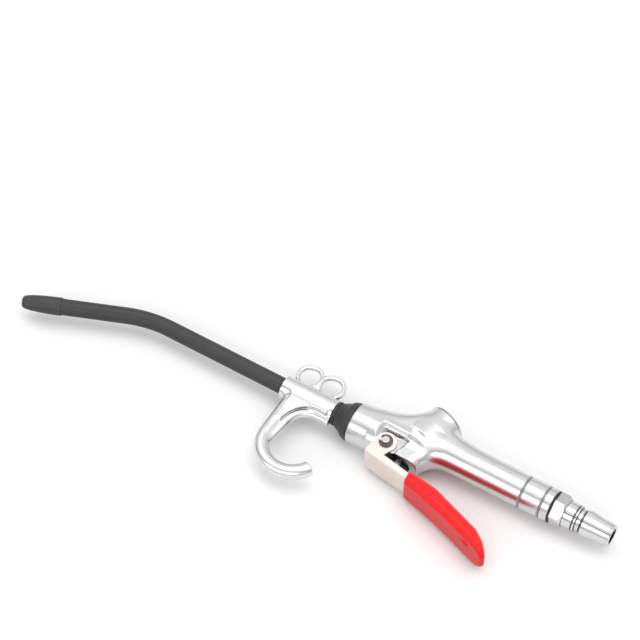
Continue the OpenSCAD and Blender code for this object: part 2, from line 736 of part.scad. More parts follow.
// The boot's outline past its band, as shares of its length and of its diameter
boot_shares = [[0.37, 0.96], [0.52, 0.87], [0.66, 0.76]];
module nozzle_boot() {
    cavity_r = max(washer_d, adapter_d) / 2 + touch_gap;
    cavity_len = washer_t + adapter_len + seat_fit;
    neck_end = boot_len - boot_bead_len;
    color("dimgray") along_barrel(front_x) rotate_extrude() polygon(concat(
        [[cavity_r, 0], [boot_d / 2, 0], [boot_d / 2, boot_band_len]],
        [for (s = boot_shares) [boot_d / 2 * s[1], boot_len * s[0]]],
        [[boot_neck_d / 2, neck_end], [boot_bead_d / 2, neck_end], [boot_bead_d / 2, boot_len],
         [wand_d / 2 + seat_fit, boot_len], [wand_d / 2 + seat_fit, cavity_len], [cavity_r, cavity_len]]
    ));
}

// The wand's bars are straight, bent towards the lever and straight again
module at_bend_end(place) {
    translate([bend_start, barrel_offset + wand_bend_r, 0]) rotate(wand_bend)
        translate([place, -wand_bend_r, 0]) rotate([0, 90, 0]) children();
}

module wand_bar(d, start_x, end_len) {
    along_barrel(start_x) cylinder(d = d, h = bend_start - start_x + touch_gap);
    translate([bend_start, barrel_offset + wand_bend_r, 0]) rotate(-90)
        rotate_extrude(angle = wand_bend) translate([wand_bend_r, 0]) circle(d = d + touch_gap);
    at_bend_end(-touch_gap) cylinder(d = d, h = end_len + touch_gap);
}

module wand_pipe(outer_d, inner_d, start_x, end_len) {
    difference() {
        wand_bar(outer_d, start_x, end_len);
        wand_bar(inner_d, start_x - overrun, end_len + overrun);
    }
}

sleeve_end = wand_reach - bend_tangent;
module wand_tube() {
    tube_x = front_x - (barrel_thread_len - touch_gap) * 0.6 + seat_fit;
    color("lightsteelblue") wand_pipe(tube_d, tube_bore_d, tube_x, sleeve_end + tip_len - tip_nose_len);
}

module wand_sleeve() {
    color([0.22, 0.22, 0.23]) wand_pipe(wand_d, tube_d + 2 * seat_fit, sleeve_start, sleeve_end);
}

// The tip's outline, as shares of its length and of its diameter
tip_shares = [[0.03, 1], [0.3, 0.985], [0.55, 0.94], [0.75, 0.87], [0.9, 0.76], [0.96, 0.68]];
module nozzle_tip() {
    step = tip_len - tip_nose_len + seat_fit;
    color([0.25, 0.25, 0.26]) at_bend_end(sleeve_end) rotate_extrude() polygon(concat(
        [[tube_d / 2 + seat_fit, 0], [tip_d * 0.48, 0]],
        [for (s = tip_shares) [tip_d / 2 * s[1], tip_len * s[0]]],
        [[tip_face_d / 2, tip_len], [tip_hole_d / 2, tip_len], [tip_hole_d / 2, step],
         [tube_d / 2 + seat_fit, step]]
    ));
}

stem_x = hanger_front - stem_place;
hook_y = barrel_offset + hook_drop;
eye_lift = touch_gap * 3;
eye_y = barrel_offset - hanger_d / 2 - eye_d / 2 - eye_lift;
eye_pitch = eye_d + eye_wall + touch_gap * 2;
module hanger() {
    inner = eye_d / 2;
    outer = inner + eye_wall;
    fillet_x = stem_x - hook_rod_d / 2 - gusset_r;
    fillet_y = barrel_offset + hanger_d / 2 + gusset_r;
    color("gainsboro") difference() {
        union() {
            along_barrel(hanger_back) cylinder(d = hanger_d, h = hanger_len);
            for (k = [0, 1]) translate([hanger_front - eye_place - k * eye_pitch, eye_y, 0])
                rotate_extrude() polygon([
                    [inner, eye_round - eye_t / 2], [inner + eye_round, -eye_t / 2],
                    [outer - eye_round, -eye_t / 2], [outer, eye_round - eye_t / 2],
                    [outer, eye_t / 2 - eye_round], [outer - eye_round, eye_t / 2],
                    [inner + eye_round, eye_t / 2], [inner, eye_t / 2 - eye_round]
                ]);
            translate([stem_x, barrel_offset, 0]) rotate([-90, 0, 0]) cylinder(d = hook_rod_d, h = hook_drop);
            translate([stem_x - hook_r, hook_y, 0]) rotate_extrude(angle = hook_sweep)
                translate([hook_r, 0]) circle(d = hook_rod_d);
            linear_extrude(hook_rod_d * 0.9, center = true) difference() {
                translate([fillet_x, barrel_offset]) square([stem_x - fillet_x, fillet_y - barrel_offset]);
                translate([fillet_x, fillet_y]) circle(r = gusset_r);
            }
        }
        along_barrel(hanger_back - overrun) cylinder(d = wand_d + 2 * run_fit, h = hanger_len + 2 * overrun);
    }
}

inlet_plug();
inlet_seal();
body();
valve_cap();
cap_ring();
valve_spring();
poppet();
poppet_seal();
push_rod();
rod_ring();
gland_nut();
lever();
lever_grip();
lever_pin();
pin_clip();
adapter_washer();
wand_adapter();
nozzle_boot();
hanger();
wand_tube();
wand_sleeve();
nozzle_tip();
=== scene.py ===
# Looks of a hand-held air duster. X runs to the nozzle, Y to the lever and Z up.
# Lengths are in millimetres until a mesh is made. The handle's axis is X and the plug's tip is at zero.
import math
import bpy
import numpy as np
from mathutils import Matrix, Vector


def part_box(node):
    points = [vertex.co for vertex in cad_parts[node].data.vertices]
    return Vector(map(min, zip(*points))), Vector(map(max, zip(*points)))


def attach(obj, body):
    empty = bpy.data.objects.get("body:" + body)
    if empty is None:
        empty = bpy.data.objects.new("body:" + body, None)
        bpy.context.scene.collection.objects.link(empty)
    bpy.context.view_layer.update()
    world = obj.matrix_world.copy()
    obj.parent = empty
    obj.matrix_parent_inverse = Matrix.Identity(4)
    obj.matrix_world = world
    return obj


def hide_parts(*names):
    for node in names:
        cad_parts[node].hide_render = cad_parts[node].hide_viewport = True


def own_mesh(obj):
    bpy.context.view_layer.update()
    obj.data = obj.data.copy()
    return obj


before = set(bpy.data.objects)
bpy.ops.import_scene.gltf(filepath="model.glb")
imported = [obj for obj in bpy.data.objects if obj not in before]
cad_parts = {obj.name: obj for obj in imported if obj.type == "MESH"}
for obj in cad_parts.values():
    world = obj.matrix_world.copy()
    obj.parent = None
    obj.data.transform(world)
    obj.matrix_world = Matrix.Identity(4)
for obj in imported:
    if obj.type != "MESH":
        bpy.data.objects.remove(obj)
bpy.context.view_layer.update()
MM = 0.001


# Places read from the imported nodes


def node_box(node):
    """Lowest and highest corner of a node, in millimetres."""
    low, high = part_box(node)
    return np.array(low) / MM, np.array(high) / MM


X_AXIS = np.array([1.0, 0.0, 0.0])
Y_AXIS = np.array([0.0, 1.0, 0.0])
Z_AXIS = np.array([0.0, 0.0, 1.0])

HANDLE_R = 8.0
BARREL_R = 9.6
BARREL_Y = 7.8
HOUSING_R = 9.5
FLOOR_GAP = 0.05
FLOOR_Z = node_box("body")[0][2] - FLOOR_GAP

# The plug's shoulder and the body's first face, with the seal between them, and the barrel's front face
PLUG_END = 28.8
BODY_START = 29.7
FRONT = node_box("nozzle_boot")[0][0]
BARREL_AT_FRONT = np.array([FRONT, BARREL_Y, 0.0])

# The valve's axis crosses the handle's at VALVE and leans towards the nozzle
VALVE_BACK = 32.3
VALVE_TILT = math.radians(16)
VALVE = np.array([FRONT - VALVE_BACK, 0.0, 0.0])
VALVE_AXIS = np.array([math.sin(VALVE_TILT), math.cos(VALVE_TILT), 0.0])
PIN_BACK = 19.5
PIN_Y = 13.4
PIN = np.array([FRONT - PIN_BACK, PIN_Y, 0.0])


# Distance fields: each takes points as an array of rows and gives a signed distance for each


def soft_min(a, b, blend):
    """The nearer of two distances, with a fillet where they meet."""
    near = np.maximum(blend - np.abs(a - b), 0.0)
    return np.minimum(a, b) - near * near / (4.0 * blend)


def soft_max(a, b, blend):
    return -soft_min(-a, -b, blend)


def cut(solid, tool, blend):
    """A solid less a tool, with its edge rounded."""
    return soft_max(solid, -tool, blend)


def round_corner(a, b, radius):
    """Where two faces meet at a right angle, a corner of a given radius."""
    over_a, over_b = a + radius, b + radius
    outside = np.hypot(np.maximum(over_a, 0.0), np.maximum(over_b, 0.0))
    return np.minimum(np.maximum(over_a, over_b), 0.0) + outside - radius


def along_and_out(points, origin, axis):
    """How far points lie along an axis and away from it."""
    offset = points - origin
    along = offset @ axis
    out = np.linalg.norm(offset - along[:, None] * axis, axis=1)
    return along, out


def bar(points, origin, axis, start, end, radius, edge):
    """A round bar from one place on its axis to another."""
    along, out = along_and_out(points, origin, axis)
    ends = np.abs(along - (start + end) / 2) - (end - start) / 2
    return round_corner(out - radius, ends, edge)


def capsule(points, a, b, radius):
    """A bar with round ends between two points."""
    line = b - a
    share = np.clip((points - a) @ line / (line @ line), 0.0, 1.0)
    return np.linalg.norm(points - a - share[:, None] * line, axis=1) - radius


def ring_arc(points, centre, major, minor, first, last):
    """A round bar bent along an arc in the XY plane, with round ends; angles in degrees from X."""
    x, y, z = (points - centre).T
    middle = math.radians((first + last) / 2)
    half = math.radians(last - first) / 2
    turn = np.arctan2(y, x) - middle
    turn = (turn + math.pi) % (2 * math.pi) - math.pi
    held = np.clip(turn, -half, half) + middle
    near_x, near_y = major * np.cos(held), major * np.sin(held)
    return np.sqrt((x - near_x) ** 2 + (y - near_y) ** 2 + z * z) - minor


def outline_distance(x, y, corners):
    """Signed distance in a plane to a closed outline of straight sides, negative inside."""
    corners = np.asarray(corners, float)
    nearest = np.full(x.shape, 1e9)
    inside = np.zeros(x.shape, bool)
    for (ax, ay), (bx, by) in zip(corners, np.roll(corners, -1, axis=0)):
        dx, dy = bx - ax, by - ay
        share = np.clip(((x - ax) * dx + (y - ay) * dy) / (dx * dx + dy * dy), 0.0, 1.0)
        nearest = np.minimum(nearest, np.hypot(x - ax - share * dx, y - ay - share * dy))
        crosses = (ay > y) != (by > y)
        if by != ay:
            inside ^= crosses & (x < ax + (y - ay) * dx / (by - ay))
    return np.where(inside, -nearest, nearest)


def smooth_table(table):
    """A smooth curve through a table of places and values that never overshoots them."""
    at, value = np.array(table, float).T
    step = np.diff(at)
    slope = np.diff(value) / step
    tangent = np.zeros(len(at))
    for i in range(1, len(at) - 1):
        if slope[i - 1] * slope[i] > 0:
            w1, w2 = 2 * step[i] + step[i - 1], step[i] + 2 * step[i - 1]
            tangent[i] = (w1 + w2) / (w1 / slope[i - 1] + w2 / slope[i])
    tangent[0], tangent[-1] = slope[0], slope[-1]

    def curve(x):
        k = np.clip(np.searchsorted(at, x) - 1, 0, len(step) - 1)
        t = np.clip((x - at[k]) / step[k], 0.0, 1.0)
        h = step[k]
        return ((1 + 2 * t) * (1 - t) ** 2 * value[k] + t * (1 - t) ** 2 * h * tangent[k]
                + t * t * (3 - 2 * t) * value[k + 1] + t * t * (t - 1) * h * tangent[k + 1])
    return curve


# Meshes

GRID_CHUNK = 400000
GRADIENT_STEP = 0.02
PULL_ROUNDS = 3
PULL_LIMIT = 0.3
LEAST_STEEP = 0.04
NO_LENGTH = 1e-9
SAME_PLACE = 1e-6


def spaced(*stretches):
    """Grid places along one axis: each stretch is an end and the step up to it."""
    places = [stretches[0][0]]
    for end, step in stretches[1:]:
        count = max(1, round((end - places[-1]) / step))
        start = places[-1]
        places += [start + (end - start) * (k + 1) / count for k in range(count)]
    return np.array(places)


def field_gradient(field, points):
    """Which way a field rises, and how steeply."""
    steps = [GRADIENT_STEP * axis for axis in (X_AXIS, Y_AXIS, Z_AXIS)]
    rise = [field(points + step) - field(points - step) for step in steps]
    return np.stack(rise, axis=1) / (2 * GRADIENT_STEP)


def skin_of(field, xs, ys, zs):
    """Points, quads and normals of the surface where a field is zero, one point in each cell it crosses."""
    shape = (len(xs), len(ys), len(zs))
    grid = np.stack(np.meshgrid(xs, ys, zs, indexing="ij"), axis=-1).reshape(-1, 3)
    chunks = np.array_split(grid, max(1, len(grid) // GRID_CHUNK))
    values = np.concatenate([field(chunk) for chunk in chunks])
    values = values.reshape(shape)
    inside = values < 0
    corners = [(i, j, k) for i in (0, 1) for j in (0, 1) for k in (0, 1)]
    cells = tuple(n - 1 for n in shape)

    def corner(data, c):
        return data[c[0]:c[0] + cells[0], c[1]:c[1] + cells[1], c[2]:c[2] + cells[2]]

    filled = sum(corner(inside, c).astype(np.int8) for c in corners)
    active = (filled > 0) & (filled < 8)
    number = np.full(cells, -1)
    number[active] = np.arange(active.sum())
    where = np.argwhere(active)
    total = np.zeros((len(where), 3))
    hits = np.zeros(len(where))
    axes = (xs, ys, zs)
    for a in corners:
        for axis in range(3):
            if a[axis]:
                continue
            b = tuple(v + (n == axis) for n, v in enumerate(a))
            va = values[tuple((where + a).T)]
            vb = values[tuple((where + b).T)]
            crossed = (va < 0) != (vb < 0)
            share = np.where(crossed, va / np.where(crossed, va - vb, 1.0), 0.0)
            pa = np.stack([axes[n][where[:, n] + a[n]] for n in range(3)], axis=1)
            pb = np.stack([axes[n][where[:, n] + b[n]] for n in range(3)], axis=1)
            total += np.where(crossed[:, None], pa + share[:, None] * (pb - pa), 0.0)
            hits += crossed
    points = total / hits[:, None]
    for _ in range(PULL_ROUNDS):
        slope = field_gradient(field, points)
        steep = np.maximum((slope ** 2).sum(axis=1), LEAST_STEEP)
        points -= np.clip(field(points) / steep, -PULL_LIMIT, PULL_LIMIT)[:, None] * slope
    normals = field_gradient(field, points)
    normals /= np.linalg.norm(normals, axis=1)[:, None] + NO_LENGTH
    quads = []
    for axis in range(3):
        one, two = [n for n in range(3) if n != axis]
        low = [slice(None)] * 3
        high = [slice(None)] * 3
        low[axis], high[axis] = slice(0, -1), slice(1, None)
        flips = inside[tuple(low)] != inside[tuple(high)]
        edges = np.argwhere(flips)
        keep = (edges[:, one] > 0) & (edges[:, two] > 0)
        keep &= (edges[:, one] < shape[one] - 1) & (edges[:, two] < shape[two] - 1)
        edges = edges[keep]
        around = []
        for back_one, back_two in ((1, 1), (0, 1), (0, 0), (1, 0)):
            cell = edges.copy()
            cell[:, one] -= back_one
            cell[:, two] -= back_two
            around.append(number[tuple(cell.T)])
        quads.append(np.stack(around, axis=1))
    return points, np.concatenate(quads), normals


def facing_out(points, quads, normals):
    """The quads with their corners in the order that faces the way the normals do."""
    p = points[quads]
    facing = np.cross(p[:, 2] - p[:, 0], p[:, 3] - p[:, 1])
    wrong = (facing * normals[quads].sum(axis=1)).sum(axis=1) < 0
    quads[wrong] = quads[wrong][:, ::-1]
    return quads


def make_piece(name, parts, body, nodes, material):
    """One object from parts that are points, faces and normals; it rides on a body and stands for nodes."""
    points, faces, normals, start = [], [], [], 0
    for p, f, n in parts:
        points.append(p)
        normals.append(n)
        faces.append(facing_out(p, np.asarray(f), n) + start)
        start += len(p)
    mesh = bpy.data.meshes.new(name)
    mesh.from_pydata((np.concatenate(points) * MM).tolist(), [], np.concatenate(faces).tolist())
    mesh.polygons.foreach_set("use_smooth", [True] * len(mesh.polygons))
    mesh.normals_split_custom_set_from_vertices(np.concatenate(normals).tolist())
    mesh.validate()
    mesh.update()
    piece = bpy.data.objects.new(name, mesh)
    bpy.context.scene.collection.objects.link(piece)
    mesh.materials.append(material)
    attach(piece, body)
    if nodes:
        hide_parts(*nodes)
    return piece


def rounded_outline(corners, steps=5):
    """An outline's points and normals: each corner is a place, a radius out and a rounding."""
    count = len(corners)
    result = []
    for i, (x, y, rounding) in enumerate(corners):
        here = np.array([x, y])
        before = np.array(corners[i - 1][:2]) - here
        after = np.array(corners[(i + 1) % count][:2]) - here
        len_a, len_b = np.linalg.norm(before), np.linalg.norm(after)
        before, after = before / len_a, after / len_b
        normal_a = np.array([before[1], -before[0]])
        normal_b = np.array([-after[1], after[0]])
        half = math.acos(np.clip(before @ after, -1, 1)) / 2
        reach = min(rounding / math.tan(half), 0.49 * len_a, 0.49 * len_b)
        radius = reach * math.tan(half)
        if radius < SAME_PLACE:
            result += [(here, normal_a), (here, normal_b)]
            continue
        bisector = (before + after) / np.linalg.norm(before + after)
        centre = here + bisector * radius / math.sin(half)
        sign = 1 if normal_a @ bisector < 0 else -1
        for k in range(steps + 1):
            blend = normal_a * (1 - k / steps) + normal_b * (k / steps)
            blend /= np.linalg.norm(blend)
            result.append((centre + sign * radius * blend, blend))
    return result


def turned(corners, origin, axis, sides=96):
    """A closed outline of places along an axis and radii out, given a clockwise turn, spun round it."""
    outline = rounded_outline(corners)
    axis = np.asarray(axis, float)
    side = np.cross(axis, X_AXIS if abs(axis[2]) > 0.9 else Z_AXIS)
    side /= np.linalg.norm(side)
    third = np.cross(axis, side)
    points, normals = [], []
    for k in range(sides):
        a = 2 * math.pi * k / sides
        out = side * math.cos(a) + third * math.sin(a)
        for (along, radius), (n_along, n_out) in outline:
            points.append(np.asarray(origin) + axis * along + out * radius)
            normals.append(axis * n_along + out * n_out)
    count = len(outline)
    faces = []
    for k in range(sides):
        for j in range(count):
            a, b = k * count + j, k * count + (j + 1) % count
            c, d = (b + count) % (sides * count), (a + count) % (sides * count)
            if np.linalg.norm(points[a] - points[b]) > SAME_PLACE:
                faces.append([a, b, c, d])
    return np.array(points), faces, np.array(normals)


# Materials


class Nodes:
    """A short way to write a material's nodes."""

    def __init__(self, name):
        self.material = bpy.data.materials.new(name)
        self.material.use_nodes = True
        self.tree = self.material.node_tree
        self.shader = self.tree.nodes["Principled BSDF"]
        self.output = self.tree.nodes["Material Output"]
        self.place = self.add("ShaderNodeTexCoord").outputs["Object"]

    def add(self, kind, **inputs):
        node = self.tree.nodes.new(kind)
        for key, value in inputs.items():
            self.put(node.inputs[key.replace("_", " ")], value)
        return node

    def put(self, socket, value):
        if isinstance(value, bpy.types.NodeSocket):
            self.tree.links.new(value, socket)
        else:
            socket.default_value = value

    def noise(self, size, detail=3.0, rough=0.5, stretch=(1, 1, 1)):
        """Cloudy noise whose spots are about a size in millimetres."""
        scaled = self.add("ShaderNodeMapping", Vector=self.place, Scale=stretch)
        noise = self.add("ShaderNodeTexNoise", Vector=scaled.outputs[0], Scale=1 / (size * MM),
                         Detail=detail, Roughness=rough)
        return noise.outputs["Fac"]

    def ramp(self, factor, *stops):
        """Colours or greys at places between 0 and 1."""
        node = self.add("ShaderNodeValToRGB", Fac=factor)
        elements = node.color_ramp.elements
        while len(elements) < len(stops):
            elements.new(0.5)
        for element, (at, colour) in zip(elements, stops):
            element.position = at
            element.color = grey(colour) if isinstance(colour, (int, float)) else (*colour, 1)
        return node.outputs["Color"]

    def range(self, factor, low, high):
        return self.add("ShaderNodeMapRange", Value=factor, To_Min=low, To_Max=high).outputs[0]

    def math(self, operation, *values):
        node = self.tree.nodes.new("ShaderNodeMath")
        node.operation = operation
        for socket, value in zip(node.inputs, values):
            self.put(socket, value)
        return node.outputs[0]

    def painted_crevice_shade(self, colour, reach, depth=0.15):
        """A colour with painted shade: it darkens towards inner corners, where shade falls, over a reach in
        millimetres.
        """
        shade = self.add("ShaderNodeAmbientOcclusion", Distance=reach * MM)
        shade.only_local = True
        shade.samples = 8
        painted_shade = self.ramp(shade.outputs["AO"], (0.45, depth), (0.9, 1.0))
        mix = self.tree.nodes.new("ShaderNodeMix")
        mix.data_type = "RGBA"
        mix.blend_type = "MULTIPLY"
        mix.inputs["Factor"].default_value = 1.0
        self.put(mix.inputs[6], colour)
        self.put(mix.inputs[7], painted_shade)
        return mix.outputs[2]

    def bump(self, height, distance, strength=1.0, under=None):
        node = self.add("ShaderNodeBump", Height=height, Distance=distance * MM, Strength=strength)
        if under is not None:
            self.put(node.inputs["Normal"], under)
        return node.outputs[0]

    def set(self, **inputs):
        for key, value in inputs.items():
            self.put(self.shader.inputs[key.replace("_", " ")], value)
        return self.material


def grey(value):
    return (value, value, value, 1)


def satin_alloy(name, tone, rough_low, rough_high, grain=0.02, reach=0.0):
    """Cast alloy, blasted and polished: fine grain, faint clouds and a few rubbed streaks."""
    n = Nodes(name)
    clouds = n.noise(size=14, detail=4)
    fine = n.noise(size=0.35, detail=2)
    streaks = n.noise(size=2.2, detail=3, stretch=(0.12, 1, 1))
    light, dark = [c * 1.02 for c in tone], [c * 0.95 for c in tone]
    bump = n.bump(fine, grain, strength=0.35)
    bump = n.bump(clouds, distance=0.25, strength=0.25, under=bump)
    colour = n.ramp(clouds, (0.3, dark), (0.7, light))
    if reach:
        # Painted shade: the colour darkens in inner corners over the reach
        colour = n.painted_crevice_shade(colour, reach)
    rough = n.range(streaks, rough_low, rough_high)
    return n.set(Metallic=1.0, Base_Color=colour, Roughness=rough, Normal=bump)


def bright_plate(name, tone, rough_low, rough_high, wave=0.05, reach=0.0):
    """Plated metal: nearly a mirror, with the slow waves of the casting under it."""
    n = Nodes(name)
    waves = n.noise(size=7, detail=2)
    haze = n.noise(size=3, detail=4)
    light, dark = list(tone), [c * 0.94 for c in tone]
    bump = n.bump(waves, wave, strength=0.5)
    bump = n.bump(n.noise(size=0.5, detail=2), distance=0.006, strength=0.3, under=bump)
    colour = n.ramp(haze, (0.35, dark), (0.65, light))
    if reach:
        # Painted shade: the colour darkens in inner corners over the reach
        colour = n.painted_crevice_shade(colour, reach)
    rough = n.range(haze, rough_low, rough_high)
    return n.set(Metallic=1.0, Base_Color=colour, Roughness=rough, Normal=bump)


def brushed_sheet(name, tone, rough_low, rough_high):
    """Pressed and plated sheet with fine lines across the lever."""
    n = Nodes(name)
    lines = n.noise(size=0.5, detail=3, rough=0.7, stretch=(2.4, 0.6, 0.12))
    clouds = n.noise(size=9, detail=3)
    light, dark = [c * 1.03 for c in tone], [c * 0.93 for c in tone]
    return n.set(Metallic=1.0, Base_Color=n.ramp(clouds, (0.3, dark), (0.7, light)),
                 Roughness=n.range(lines, rough_low, rough_high),
                 Normal=n.bump(lines, distance=0.02, strength=0.35))


def dipped_vinyl(name, deep, bright):
    """Soft glossy vinyl with the slow runs of dipping and a pale bloom where it is seen aslant."""
    n = Nodes(name)
    clouds = n.noise(size=8, detail=3)
    runs = n.noise(size=4, detail=2, stretch=(0.3, 1, 1))
    bump = n.bump(runs, distance=0.12, strength=0.35)
    bump = n.bump(n.noise(size=0.6, detail=2), distance=0.008, strength=0.35, under=bump)
    return n.set(Base_Color=n.ramp(clouds, (0.3, deep), (0.7, bright)),
                 Roughness=n.range(clouds, low=0.24, high=0.34), Normal=bump,
                 Coat_Weight=0.1, Coat_Roughness=0.08, Specular_IOR_Level=0.25,
                 Sheen_Weight=0.2, Sheen_Roughness=0.5)


def moulded(name, low, high, rough_low, rough_high, grain=0.03, grain_size=0.4):
    """Moulded rubber or plastic: fine grain and faint rubbed places."""
    n = Nodes(name)
    clouds = n.noise(size=6, detail=4)
    fine = n.noise(grain_size, detail=3)
    return n.set(Base_Color=n.ramp(clouds, (0.3, low), (0.7, high)),
                 Roughness=n.range(clouds, rough_low, rough_high), Normal=n.bump(fine, grain, strength=0.5))


# The body, the plug and the hanger carry painted shade in their inner corners, over the reach given
body_alloy = satin_alloy("body_alloy", (0.76, 0.76, 0.765), 0.2, 0.28, reach=4.0)
cap_alloy = satin_alloy("cap_alloy", (0.72, 0.72, 0.73), 0.16, 0.26)
plug_plate = bright_plate("plug_plate", (0.79, 0.785, 0.78), 0.06, 0.11, 0.015, reach=1.5)
hanger_plate = bright_plate("hanger_plate", (0.84, 0.84, 0.845), 0.16, 0.25, reach=2.5)
lever_sheet = brushed_sheet("lever_sheet", (0.88, 0.775, 0.715), 0.34, 0.46)
pin_steel = bright_plate("pin_steel", (0.75, 0.75, 0.75), 0.14, 0.22, 0.01)
spring_wire = bright_plate("spring_wire", (0.6, 0.61, 0.63), 0.2, 0.3, 0.01)
tube_steel = satin_alloy("tube_steel", (0.6, 0.6, 0.61), 0.2, 0.3)
turned_brass = satin_alloy("turned_brass", (0.72, 0.53, 0.25), 0.18, 0.3)
dark_steel = satin_alloy("dark_steel", (0.09, 0.09, 0.095), 0.3, 0.45)
# The clip's dark tone is painted shade: the clip is bright steel, darkened to stand for the shade over it
clip_painted_shade = satin_alloy("clip_painted_shade", (0.13, 0.12, 0.12), 0.25, 0.35)
red_vinyl = dipped_vinyl("red_vinyl", (0.95, 0.003, 0.004), (1.0, 0.006, 0.008))
black_rubber = moulded("black_rubber", 0.012, 0.02, 0.4, 0.55)
# Dark materials for the rings of painted shade in the grooves and joints
groove_shade_alloy = satin_alloy("groove_shade_alloy", (0.42, 0.42, 0.43), 0.4, 0.5)
joint_painted_shade = moulded("joint_painted_shade", 0.05, 0.08, 0.5, 0.7)
boot_rubber = moulded("boot_rubber", 0.022, 0.036, 0.34, 0.46)
sleeve_plastic = moulded("sleeve_plastic", 0.032, 0.041, 0.42, 0.52, 0.02, 0.3)
tip_rubber = moulded("tip_rubber", 0.038, 0.05, 0.44, 0.55, 0.03, 0.35)

# Materials of the nodes that are shown as they were packed
NODE_LOOKS = {
    "cap_ring": black_rubber, "poppet": turned_brass, "poppet_seal": black_rubber,
    "push_rod": tube_steel, "rod_ring": black_rubber, "gland_nut": dark_steel, "pin_clip": clip_painted_shade,
    "adapter_washer": black_rubber, "wand_adapter": turned_brass, "wand_tube": tube_steel,
}
for node, look in NODE_LOOKS.items():
    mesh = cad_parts[node].data
    mesh.materials.clear()
    mesh.materials.append(look)


# The cast body: tables of places along X and what the swell over the valve measures there

TOP_EDGE = smooth_table([
    (28, -8), (64.6, -8), (67.6, -8.02), (71.6, -8.2), (75.6, -8.65), (79.6, -9.1), (83.1, -9.9),
    (86.1, -11.4), (89.1, -12.6), (93.6, -13.4), (98.6, -13.75), (101.6, -13.1), (103.6, -11.55),
    (105.6, -9.9), (108.6, -7.85), (112.6, -6.15), (116.6, -4.95), (121.6, -3.75), (126.6, -2.75),
    (129, -2.2)])
BOTTOM_EDGE = smooth_table([
    (28, 8), (74.6, 8), (79.6, 8.1), (83.1, 8.4), (86.1, 9.3), (89.1, 10.6), (93.6, 11.8), (98.6, 13),
    (104.6, 13.6), (112.6, 14.6), (120.6, 16), (129, 17)])
HALF_WIDTH = smooth_table([
    (28, 8), (74.6, 8), (79.6, 8.15), (83.1, 8.35), (86.1, 8.6), (89.1, 8.75), (93.6, 8.8), (98.6, 8.8),
    (112.6, 9.0), (129, 9.1)])
RIDGE = smooth_table([
    (60.6, 9), (84.6, 8.6), (89, 7.6), (92.4, 6.4), (95.9, 5.7), (101.6, 4.9), (107.6, 4.4), (109, 5),
    (112.6, 30), (130, 30)])
RIDGE_BLEND = smooth_table([(60, 0.1), (78, 0.1), (90, 0.7), (104, 1.0), (130, 1.0)])
SWELL_START = 60.6
RIDGE_HALF = 9.0
RIDGE_FALL_Y = 0.75
RIDGE_FALL_Z = 0.66
RIDGE_EDGE = 0.45

GROOVES = (BODY_START + 4.25, BODY_START + 14.3)
GROOVE_R = 0.58
GROOVE_LIFT = 0.05
GROOVE_EDGE = 0.06
HANDLE_END_ROUND = 0.7
HANDLE_PAST_VALVE = 4.0

BOSS_FACE_Y = 16.8
BOSS_HALF = 7.0
BOSS_SIDE = 9.7
BOSS_ROUND = 5.2
BOSS_EDGE = 0.6
BOSS_FRONT_BACK = 10.0
BOSS_FLARE = 0.3
BOSS_FLARE_Y = 14.0
BOSS_FLARE_REACH = 8.0
BOSS_EVEN = 0.96

# Each pocket has a flat floor, a steep wall, a bevel over it and a slope towards the barrel.
# A lean is how far a wall steps back per millimetre of height; EVEN keeps its distance true.
POCKET_FLOOR = 5.8
WALL_Y = 8.0
WALL_LEAN = 0.32
WALL_EVEN = 0.95
BEVEL_Y = 7.3
BEVEL_HIGH = 8.0
BEVEL_LEAN = 1.42
BEVEL_EVEN = 0.576
POCKET_REAR = 1.4
POCKET_FRONT_BACK = 16.9
POCKET_FRONT_LEAN = 0.2
POCKET_FRONT_EVEN = 0.7

# Places along the valve's axis, radii about it, and the fillets where the body's parts meet
HOUSING_BACK = -14.0
BARREL_BACK = -27.0
BOSS_BLEND = 5.5
HOUSING_BLEND = 2.2
BARREL_BLEND = 1.2
FACE_ROUND = 0.6
BORE_EDGE = 0.3
WAY_EDGE = 0.2
TOOL_EDGE = 0.1
CLEAR_R = 12.0
FAR_OFF = 40.0
GLAND_START = 10.8
GLAND_R = 6.0
CAP_BORE_FROM = -30.0
CAP_BORE_END = -7.0
CAP_BORE_R = 6.7
PIN_BORE_R = 1.82


def plain_handle(p):
    """The round handle with its two grooves."""
    x, y, z = p.T
    radial = np.hypot(y, z)
    handle = radial - HANDLE_R
    for groove in GROOVES:
        handle = cut(handle, np.hypot(x - groove, radial - HANDLE_R - GROOVE_LIFT) - GROOVE_R, GROOVE_EDGE)
    handle = round_corner(handle, BODY_START - x, HANDLE_END_ROUND)
    return np.maximum(handle, x - VALVE[0] - HANDLE_PAST_VALVE)


def swell(p):
    """The cast swell from the handle over the valve to the barrel, ending at a ridge on each side."""
    x, y, z = p.T
    top, bottom, half = TOP_EDGE(x), BOTTOM_EDGE(x), HALF_WIDTH(x)
    middle = np.clip(y, top + half, np.maximum(bottom - half, top + half))
    shell = np.hypot(y - middle, z) - half
    slope = (y - RIDGE(x)) * RIDGE_FALL_Y + (np.abs(z) - RIDGE_HALF) * RIDGE_FALL_Z
    shell = soft_max(shell, slope, RIDGE_EDGE)
    return np.maximum(shell, SWELL_START - x)


def boss(p):
    """The block that holds the rod's seal: flat on both sides, rounded towards the handle."""
    x, y, z = p.T
    across = (x - VALVE[0]) * math.cos(VALVE_TILT) - y * math.sin(VALVE_TILT)
    side = -across - BOSS_SIDE - BOSS_FLARE * np.clip(BOSS_FLARE_Y - y, 0.0, BOSS_FLARE_REACH)
    block = round_corner(np.abs(z) - BOSS_HALF, side * BOSS_EVEN, BOSS_ROUND)
    block = np.maximum(block, np.maximum(x - FRONT + BOSS_FRONT_BACK, -y))
    return soft_max(block, y - BOSS_FACE_Y, BOSS_EDGE)


